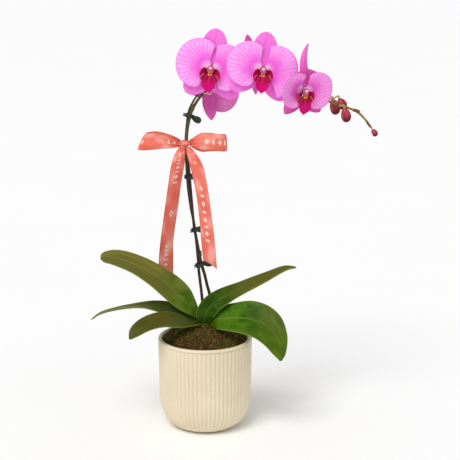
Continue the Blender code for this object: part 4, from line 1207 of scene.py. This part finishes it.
def makeLip(name, place, spec, sideFinish, tongueFinish, gold, blush):
    side, middle, depth = spec
    forward, thick = flower["lipForward"], flower["lipThick"]
    spread = flower["earSpread"]
    lowest = flower["earTurn"] - spread
    pieces = []
    for way in (-1, 1):
        def ear(s, t, way=way):
            # a side lobe, from beside the column down to the tongue, highest at its upper end
            turn = flower["earTurn"] + spread * s * (0.75 + 0.25 * t)
            edge = side * mm * (1.44 - 0.0112 * (turn - lowest)) * (1 - 0.12 * s ** 4)
            angle = math.radians(180 - way * turn)
            along = flower["throat"] + (edge - flower["throat"]) * math.sin(math.pi / 2 * t) ** 0.9
            high = depth * mm * (0.42 + 0.42 * (turn - lowest) / (2 * spread))
            return place(along * math.sin(angle), along * math.cos(angle),
                         forward + high * math.sin(math.radians(flower["earCurve"]) * t))
        pieces.append(thinPiece("ear", ear, 18, 14, thick, sideFinish))
        # a thin yellow line runs out along each ear
        raised = place(0, 0, 0.7 * mm)
        line = [ear(-0.5 - 0.1 * k / 9, 0.3 + 0.6 * k / 9) + raised - place(0, 0, 0) for k in range(10)]
        pieces.append(stemPiece("line", line, [0.42 * mm * (1 - 0.5 * k / 9) for k in range(10)], 6, gold))

    def tongueShape(s, t):
        # broad past its foot, then pointed, its edges raised and a keel along it
        half = (3 + side * 0.43 * math.sin(math.pi * min(1, t * 1.02) ** 1.25) ** 1.1) * mm
        half *= 1 if t < 0.8 else max(0.12, 1 - ((t - 0.8) / 0.22) ** 1.5)
        down = flower["throat"] + (middle * mm - flower["throat"]) * t
        lift = forward + depth * mm * (0.2 + 0.42 * math.sin(math.radians(flower["tongueCurve"]) * t))
        lift += 1.6 * mm * s * s * math.sin(math.pi * t) + 0.8 * mm * math.exp(-(s / 0.13) ** 2) * (1 - t)
        return place(s * half, -down, lift)

    pieces.append(thinPiece("tongue", tongueShape, 20, 26, thick, tongueFinish))
    for way in (-1, 1):  # two curling threads at the tip
        tip = [(way * 0.5, -middle + 0.5, 0), (way * 2.2, -middle - 1.2, 1.2),
               (way * 4.4, -middle - 0.6, 2.2), (way * 5.4, -middle + 1.6, 2.4),
               (way * 4.6, -middle + 3.2, 2.0)]
        lift = forward + depth * mm * 0.44
        line = [place(x * mm, y * mm, lift + f * mm) for x, y, f in smoothRows(tip, 18)]
        radii = [0.46 * mm * (1 - 0.7 * i / 17) for i in range(18)]
        pieces.append(stemPiece("thread", line, radii, 8, blush))
        # the callus: a pair of knobs, each with a prong
        knob = place(way * 1.6 * mm, -8 * mm, forward + depth * mm * 0.42)
        pieces.append(eggPiece("knob", knob, (1.5 * mm, 1.8 * mm, 1.5 * mm), gold, 14, 8))
        prong = [place(way * x * mm, y * mm, forward + depth * mm * 0.42 + f * mm) for x, y, f in (
            (1.2, -6.4, 0.6), (1.6, -5.2, 1.6), (2.4, -4.6, 2.4))]
        pieces.append(stemPiece("prong", prong, [0.8 * mm, 0.6 * mm, 0.3 * mm], 8, gold))
    return joinPieces(name + "_lip_shaped", pieces)


def makeColumn(name, place, blush, mauve, gold):
    # seat, stem of the column with its broad wings, white cap and the small beak under it
    rings = []
    for forward, share, drop in smoothRows(flower["columnStations"], 26):
        radius = flower["column"] * share
        ring = []
        for a in circle(24):
            high = radius * math.sin(a) * (1 if math.sin(a) > 0 else 0.95)
            ring.append(place(radius * math.cos(a), high - drop * mm, forward * mm))
        rings.append(ring)
    pieces = [ringPiece("columnStem", rings, mauve)]
    cap = (2.2 * mm, 1.6 * mm, 1.7 * mm)
    pieces.append(eggPiece("cap", place(0, 1.6 * mm, 9.6 * mm), cap, blush, 16, 10))
    beak = [place(0, y * mm, f * mm) for y, f in ((0.2, 10.4), (-1.0, 10.8), (-2.0, 10.5), (-2.6, 9.8))]
    pieces.append(stemPiece("beak", beak, [0.8 * mm, 0.7 * mm, 0.5 * mm, 0.25 * mm], 10, gold))
    return joinPieces(name + "_column_capped", pieces)


def makeFlowers():
    gold = goldFinish()
    blush = columnFinish("columnBlush", rgb(250, 206, 234), rgb(252, 226, 238))
    mauve = columnFinish("columnMauve", rgb(242, 150, 214), rgb(190, 78, 128))
    # painted deep shade: the sepal finish at its darkest, for flower C's shoulder and lateral sepals
    deepShadeSepal = petalFinish("petalHood", 1.6, False)
    finishes = {}
    for number, (name, spec) in enumerate(flower["blooms"].items()):
        place = bloomFrame(spec)
        shadeDepth = spec["shadeDepth"]
        # lit and shaded copies of the same finishes, one set for each amount of painted shade
        if shadeDepth not in finishes:
            label = "" if shadeDepth == 0 else ("Dusk" if shadeDepth < 0.7 else "Shade")
            finishes[shadeDepth] = (petalFinish("petalVeined" + label, shadeDepth, True),
                              petalFinish("sepalVeined" + label, shadeDepth, False),
                              lipFinish("lipEars" + label, shadeDepth, False),
                              lipFinish("lipTongue" + label, shadeDepth, True))
        petal, sepal, ears, tongue = finishes[shadeDepth]
        for part, layer in (("dorsal_sepal", 0), ("left_lateral_sepal", 0), ("right_lateral_sepal", 1)):
            horn = name == "flower_c" and part == "dorsal_sepal"  # it is folded back, over a broad shoulder
            shaded = name == "flower_c" and layer + (part == "left_lateral_sepal") > 0
            shape = sepalSurface(place, layer, spec["blunt"], -5.5 if horn else 0, *spec[part])
            made = thinPiece(f"{name}_{part}_blade", shape, 18, 24, flower["tepalThick"],
                             deepShadeSepal if shaded else sepal)
            if horn:
                shoulder = thinPiece("shoulder", shoulderSurface(place), 24, 8, flower["tepalThick"], deepShadeSepal)
                made = joinPieces(made.name, [made, shoulder])
            settle(made, "petal", f"{name}_{part}")
        for part, phase in (("left_petal", 0.6), ("right_petal", 2.4)):
            shape = petalSurface(place, *spec[part], phase + number)
            made = thinPiece(f"{name}_{part}_fan", shape, 36, 26, flower["tepalThick"], petal)
            settle(made, "petal", f"{name}_{part}")
        settle(makeLip(name, place, spec["lip"], ears, tongue, gold, blush), "lip", name + "_lip")
        settle(makeColumn(name, place, blush, mauve, gold), "column", name + "_column")


makeFlowers()
print("flowers done")

# Buds, and every stalk to its flower or bud

bud = {
    # center from the crown, half sizes, lean to the right in degrees, start of the stalk on the spike
    "bud_back_left": ((188.5, 21, 322.5), (7.4, 6.6, 11.5), -14, (172, 12.3, 335.5)),
    "bud_back_right": ((199.5, 30, 326), (6.8, 6.2, 8.8), -26, (176, 12.2, 333.5)),
    "bud_front": ((202.6, -2, 314), (7.2, 7.2, 10.6), -12, (192, 11.2, 327)),
    "bud_tip": ((245.2, 6, 287.4), (4.3, 4.3, 6), -30, None),
}


def budFinish():
    made, b, shader = newFinish("budRose", Subsurface_Weight=0.06, Subsurface_Scale=0.002,
                                Coat_Roughness=0.35, Specular_IOR_Level=0.1)
    u, v = b.across()
    where = b.place()
    soft = b.noise(where, 180, 3, 0.55)
    grain = b.noise(where, 1500, 2, 0.6)
    seam = b.fade(abs(((u * 3) % 1.0) - 0.5), 0.06, 0.0)
    streak = b.fade(b.noise(b.lay(u * 16, v * 2.5), 1.0, 3, 0.6), 0.45, 0.7)
    color = b.blend(b.fade(soft, 0.3, 0.7), rgb(152, 38, 60), rgb(188, 78, 94))
    color = b.coats(color,
        # darker toward the bottom and pale streaks toward the top: partly the bud's own colour, partly
        # painted shade below and painted highlight above
        (b.fade(v, 0.34, 0.74), rgb(112, 6, 30)),
        (streak * 0.3 * b.fade(v, 0.8, 0.3), rgb(228, 146, 154)),
        (seam * 0.6, rgb(104, 20, 38)),
        (b.fade(v, 0.16, 0.02) * 0.7, rgb(150, 132, 70)),
        (b.fade(v, 0.93, 1.0) * 0.6, rgb(112, 96, 30)))
    feed(b, shader, Base_Color=color, Roughness=0.42 + grain * 0.2,
         Coat_Weight=b.fade(soft, 0.3, 0.7, 0.05, 0.2),
         Normal=b.bump(seam * -1.0 + streak * 0.3, 0.4, 0.0006))
    return made


def makeBuds():
    rose = budFinish()
    for name, (center, radii, lean, _) in bud.items():
        turn = Matrix.Rotation(math.radians(lean), 3, "Y")
        wide, deep, high = radii
        rings = []
        for step in range(26):
            angle = math.pi * (step + 0.5) / 26
            swell = math.sin(angle) * (1 - 0.16 * math.cos(angle))
            ring = []
            for a in circle(36):
                # three low ridges, and three narrow seams between them
                seam = ((a / (2 * math.pi) * 3) % 1.0) - 0.5
                ridge = 1 + 0.05 * math.cos(3 * a) * math.sin(angle) - 0.05 * math.exp(-(seam / 0.07) ** 2)
                ring.append(at(*center) + turn @ Vector((wide * swell * ridge * math.cos(a),
                                                         deep * swell * ridge * math.sin(a),
                                                         high * math.cos(angle))) * mm)
            rings.append(ring)
        settle(ringPiece(name + "_ridged", rings, rose), "bud", name)


def stalksOf():
    made = []
    for name, spec in flower["blooms"].items():
        place = bloomFrame(spec)
        face = (place(0, 0, 1) - place(0, 0, 0)).normalized()
        end = place(0, 0, -flower["columnBack"] - 0.2 * mm)
        start = at(*spec["root"])
        made.append((name + "Stalk", start, (start + end) / 2 + Vector((0, 0, 3 * mm)), end, face,
                     spike["stalkRadius"]))
    for name, (center, radii, lean, root) in bud.items():
        if root is None:
            continue
        turn = Matrix.Rotation(math.radians(lean), 3, "Y")
        down = turn @ Vector((0, 0, -1))
        end = at(*center) - down * (radii[2] * mm - 0.3 * mm)
        start = at(*root)
        made.append((name + "Stalk", start, (start + end) / 2 + Vector((0, 0, 1 * mm)), end, down,
                     spike["stalkRadius"] * 0.85))
    return made


makeBuds()
makeSpike(stalksOf())
print("buds and spike done")

# Ribbon: two loops, two tails and a knot

ribbon = {
    "width": 25 * mm, "thick": 0.6 * mm, "gather": 0.34,
    "knotCenter": (-28, 12, 271), "knotSize": (13, 15, 10),
    "loops": {
        "ribbon_loop_left": [
            (-34.4, 8.5, 271.5), (-48, 1, 274.5), (-66, -3, 277), (-85, -3, 275.5), (-92, 4, 274),
            (-85, 11, 275), (-66, 13, 276), (-48, 14, 274), (-34.4, 15.5, 271)],
        "ribbon_loop_right": [
            (-21.6, 8.5, 271.5), (-8, 1, 275), (8, -3, 276), (24, -3, 274), (33, 4, 273),
            (26, 11, 272), (10, 14, 271), (-8, 15, 270), (-21.6, 15.5, 271)],
    },
    "tails": {  # middle line from the knot down, share of the full width, turn of the face to its left
        "ribbon_tail_left": [
            (-32, 7.2, 266.7, 0.26, 0), (-35, 3, 256, 0.64, 20), (-38.5, 1, 240, 0.96, 36),
            (-43, 1, 214, 1, 43), (-49, 6, 173, 1, 44), (-56, 18, 125, 1, 42), (-58.5, 32, 96, 1, 32),
            (-60, 39, 66, 1, 26)],
        "ribbon_tail_right": [
            (-24, 7, 266.9, 0.26, 0), (-17.5, 1, 255, 0.64, -20), (-10.5, -3, 238, 0.92, -34),
            (-3.5, -6, 205, 1, -40), (1.5, -7, 165, 1, -40), (5, -6, 130, 1, -38), (8, -5, 98, 1, -36)],
    },
    "slant": 9 * mm, "lean": {"ribbon_loop_left": 25, "ribbon_loop_right": -3},
    "opening": {"ribbon_loop_left": 0.8, "ribbon_loop_right": 0.5},
    # how far along each piece the printed mark before the row of shapes lies, in millimetres
    "print": {"ribbon_loop_left": 53, "ribbon_loop_right": -10,
              "ribbon_tail_left": -7, "ribbon_tail_right": 49},
    # the row: room before it, step and end of the repeat, in millimetres
    "printLead": 4.0, "printRepeat": 130.0, "rowStart": 32, "rowStep": 8.5,
    "knotTilt": 0.55,
}


def lineLength(rows):
    points = [Vector(row[:3]) for row in smoothRows(rows, 120)]
    return sum((b - a).length for a, b in zip(points, points[1:])) * mm


def satinFinish(name, length, mark=None):
    made, b, shader = newFinish(name, Sheen_Weight=0.15, Sheen_Roughness=0.35, Specular_IOR_Level=0.35,
                                Anisotropic=0.5)
    u, v = b.across()
    where = b.place()
    x = u * ribbon["width"] / mm  # millimetres across and along
    y = v * length / mm
    side = abs(u - 0.5) * 2
    thread = b.noise(b.lay(x * 0.7, y * 9), 1.0, 2, 0.5)
    cross = b.noise(b.lay(x * 8, y * 0.5), 1.0, 2, 0.5)
    soft = b.noise(where, 50, 3, 0.5)
    color = b.blend(b.fade(soft, 0.3, 0.7), rgb(230, 98, 78), rgb(243, 124, 104))
    color = b.coats(color,
        (b.fade(thread, 0.4, 0.7) * 0.3, rgb(250, 156, 138)),
        (b.fade(cross, 0.5, 0.75) * 0.18, rgb(206, 72, 54)))
    # painted highlights and painted shade: broad soft patches lighter and darker across the satin
    satinPaintedLight = b.noise(b.lay(x * 0.045, y * 0.035), 1.0, 1, 0.4)  # broad soft lights of the satin
    color = b.coats(color,
        (b.fade(satinPaintedLight, 0.46, 0.66) * 0.6, rgb(254, 196, 184)),
        (b.fade(satinPaintedLight, 0.44, 0.3) * 0.5, rgb(216, 78, 56)),
        (b.fade(side, 0.86, 0.93) * 0.5, rgb(206, 72, 52)),
        (b.fade(side, 0.95, 0.99) * 0.5, rgb(236, 122, 102)))
    if mark is not None:
        # a plain printed border: a small open diamond, then eight shapes in a row, diamonds and bars in turn
        lead, step = ribbon["printLead"], ribbon["rowStep"]
        run = (y - mark + lead) % ribbon["printRepeat"] - lead
        off = abs(x - 12.5)
        spot = abs(run) + off
        shown = b.fade(spot, 4.2, 3.6) * b.fade(spot, 1.6, 2.2)
        turn = (run - ribbon["rowStart"]) / step
        near = abs(((turn % 1.0) - 0.5) * step)
        even = b.fade(turn % 2.0, 0.99, 1.01)
        bar = b.fade(near, 1.5, 1.0) * b.fade(off, 3.9, 3.4)
        diamond = b.fade(near + off * 0.8, 3.6, 3.0)
        row = (bar * even + diamond * (1 - even)) * (turn > 0.0) * (turn < 8.0)
        shown = shown.most(row) * b.fade(thread, 0.15, 0.5, 0.8, 1.0)
        color = b.blend(shown * 0.85, color, rgb(252, 222, 206))
    feed(b, shader, Base_Color=color, Roughness=0.3 + thread * 0.22 + b.fade(side, 0.86, 0.93) * 0.15,
         Normal=b.bump(thread * 0.6 + cross * 0.5 - b.fade(side, 0.86, 0.92) * 0.6, 0.25, 0.0004))
    return made


def loopSurface(name, route):
    count = 241
    middle = [at(*row) for row in smoothRows(route, count)]
    ways = wayAlong(middle)
    lean = math.radians(ribbon["lean"][name])

    def point(s, t):
        i = round(t * (count - 1))
        open_ = min(1.0, math.sin(math.pi * t) / ribbon["opening"][name]) ** 0.8
        half = ribbon["width"] / 2 * (ribbon["gather"] + (1 - ribbon["gather"]) * open_)
        bend = math.exp(-((t - 0.5) / 0.14) ** 2)
        tip = bend * lean
        through = ways[i].cross(Vector((0, 0, 1))).normalized()
        pleat = (1 - open_) * 2.2 * mm * math.cos(3.2 * math.pi * s + 3 * t)
        fold = 2.0 * mm * open_ * math.sin(2.4 * s + 8 * t) * (math.sin(math.pi * t) - bend)
        down = Vector((-math.sin(tip), 0, -math.cos(tip))) * half * s
        inward = 1 if middle[i].x < middle[0].x else -1
        corner = Vector((1.8 * mm * bend * s ** 4 * inward, 0, 0))
        return middle[i] + down + through * (pleat + fold) + corner

    return point


def tailSurface(route, slant):
    count = 241
    rows = smoothRows(route, count)
    middle = [at(*row[:3]) for row in rows]

    def point(s, t):
        i = round(t * (count - 1))
        turn = math.radians(rows[i][4])
        side = Vector((math.cos(turn), math.sin(turn), 0))
        through = Vector((math.sin(turn), -math.cos(turn), 0))
        tight = max(0.0, 1 - rows[i][3])
        pleat = tight * 1.6 * mm * math.cos(3 * math.pi * s)
        bow = 1.3 * mm * (1 - s * s) * math.sin(3.6 * t + 0.6) + 0.5 * mm * math.sin(11 * t + 2 * s)
        drop = Vector((0, 0, slant * (s + 1) / 2 * t ** 6))
        half = rows[i][3] * ribbon["width"] / 2
        return middle[i] + side * s * half - drop + through * (pleat + bow)

    return point


def makeRibbon():
    lengths = {}
    for name, route in ribbon["loops"].items():
        length = lengths[name] = lineLength(route)
        satin = satinFinish(name + "Satin", length, ribbon["print"][name])
        made = thinPiece(name + "_satin", loopSurface(name, route), 24, 90, ribbon["thick"], satin, 0.7)
        settle(made, "ribbon", name)
    for name, route in ribbon["tails"].items():
        slant = ribbon["slant"] if name.endswith("right") else 0
        length = lengths[name] = lineLength(route)
        satin = satinFinish(name + "Satin", length, ribbon["print"][name])
        made = thinPiece(name + "_satin", tailSurface(route, slant), 24, 90, ribbon["thick"], satin, 0.7)
        settle(made, "ribbon", name)
    print("ribbon lengths", {name: round(length, 4) for name, length in lengths.items()})

    # the knot: a short length pulled tight over the crossing, in soft upright folds
    satin = satinFinish("ribbonKnotSatin", 0.05)
    center = at(*ribbon["knotCenter"])
    wide, deep, high = (size / 2 for size in ribbon["knotSize"])
    rings = []
    for j in range(30):
        angle = math.pi * (j + 0.5) / 30
        ring = []
        for a in circle(48):
            square = (abs(math.cos(a)) ** 3 + abs(math.sin(a)) ** 3) ** (-1 / 3)
            # the top layer crosses from lower left to upper right
            slope = math.cos(angle) - ribbon["knotTilt"] * math.cos(a)
            strap = 0.16 * math.exp(-(slope / 0.42) ** 2) * (1 + 0.35 * math.cos(15 * slope))
            swell = math.sin(angle) ** 0.6 * square * (0.93 + strap + 0.03 * math.sin(9 * a))
            ring.append(center + Vector((wide * swell * math.cos(a), deep * swell * math.sin(a),
                                         high * math.cos(angle))) * mm)
        rings.append(ring)
    made = ringPiece("ribbon_knot_folded", rings, satin)
    settle(made, "ribbon", "ribbon_knot")


makeRibbon()
print("ribbon done")

# Floor, light and camera

studio = {
    "floorSize": 40.0, "world": 0.57, "sunPower": 1.68, "sunWidth": 30.0, "sunTurn": (36, 0, -28),
    "camera": (0.0372, -1.7517, 0.7137), "pitch": 76.7, "lens": 96.26,
}


def makeStudio():
    made, b, shader = newFinish("studioFloor")
    where = b.place()
    tint = b.noise(where, 3, 2, 0.5)
    color = b.blend(tint * 0.3, rgb(255, 255, 255), rgb(251, 251, 251))
    feed(b, shader, Base_Color=color, Roughness=0.9 - tint * 0.1)
    bpy.ops.mesh.primitive_plane_add(size=studio["floorSize"], location=(0, 0, -0.0002))
    floor = bpy.context.object
    floor.name = "studio_floor"
    floor.data.materials.append(made)

    world = bpy.data.worlds.new("softRoom")
    world.use_nodes = True
    world.node_tree.nodes["Background"].inputs[0].default_value = (1, 1, 1, 1)
    world.node_tree.nodes["Background"].inputs[1].default_value = studio["world"]
    bpy.context.scene.world = world

    sun = bpy.data.lights.new("softSun", "SUN")
    sun.energy = studio["sunPower"]
    sun.angle = math.radians(studio["sunWidth"])
    lamp = bpy.data.objects.new("softSun", sun)
    lamp.rotation_euler = [math.radians(a) for a in studio["sunTurn"]]
    bpy.context.scene.collection.objects.link(lamp)

    lens = bpy.data.cameras.new("frontView")
    lens.lens = studio["lens"]
    lens.sensor_width = 36
    camera = bpy.data.objects.new("frontView", lens)
    camera.location = studio["camera"]
    camera.rotation_euler = (math.radians(studio["pitch"]), 0, 0)
    bpy.context.scene.collection.objects.link(camera)
    bpy.context.scene.camera = camera
    bpy.context.scene.view_settings.view_transform = "Standard"


makeStudio()
print("studio done")
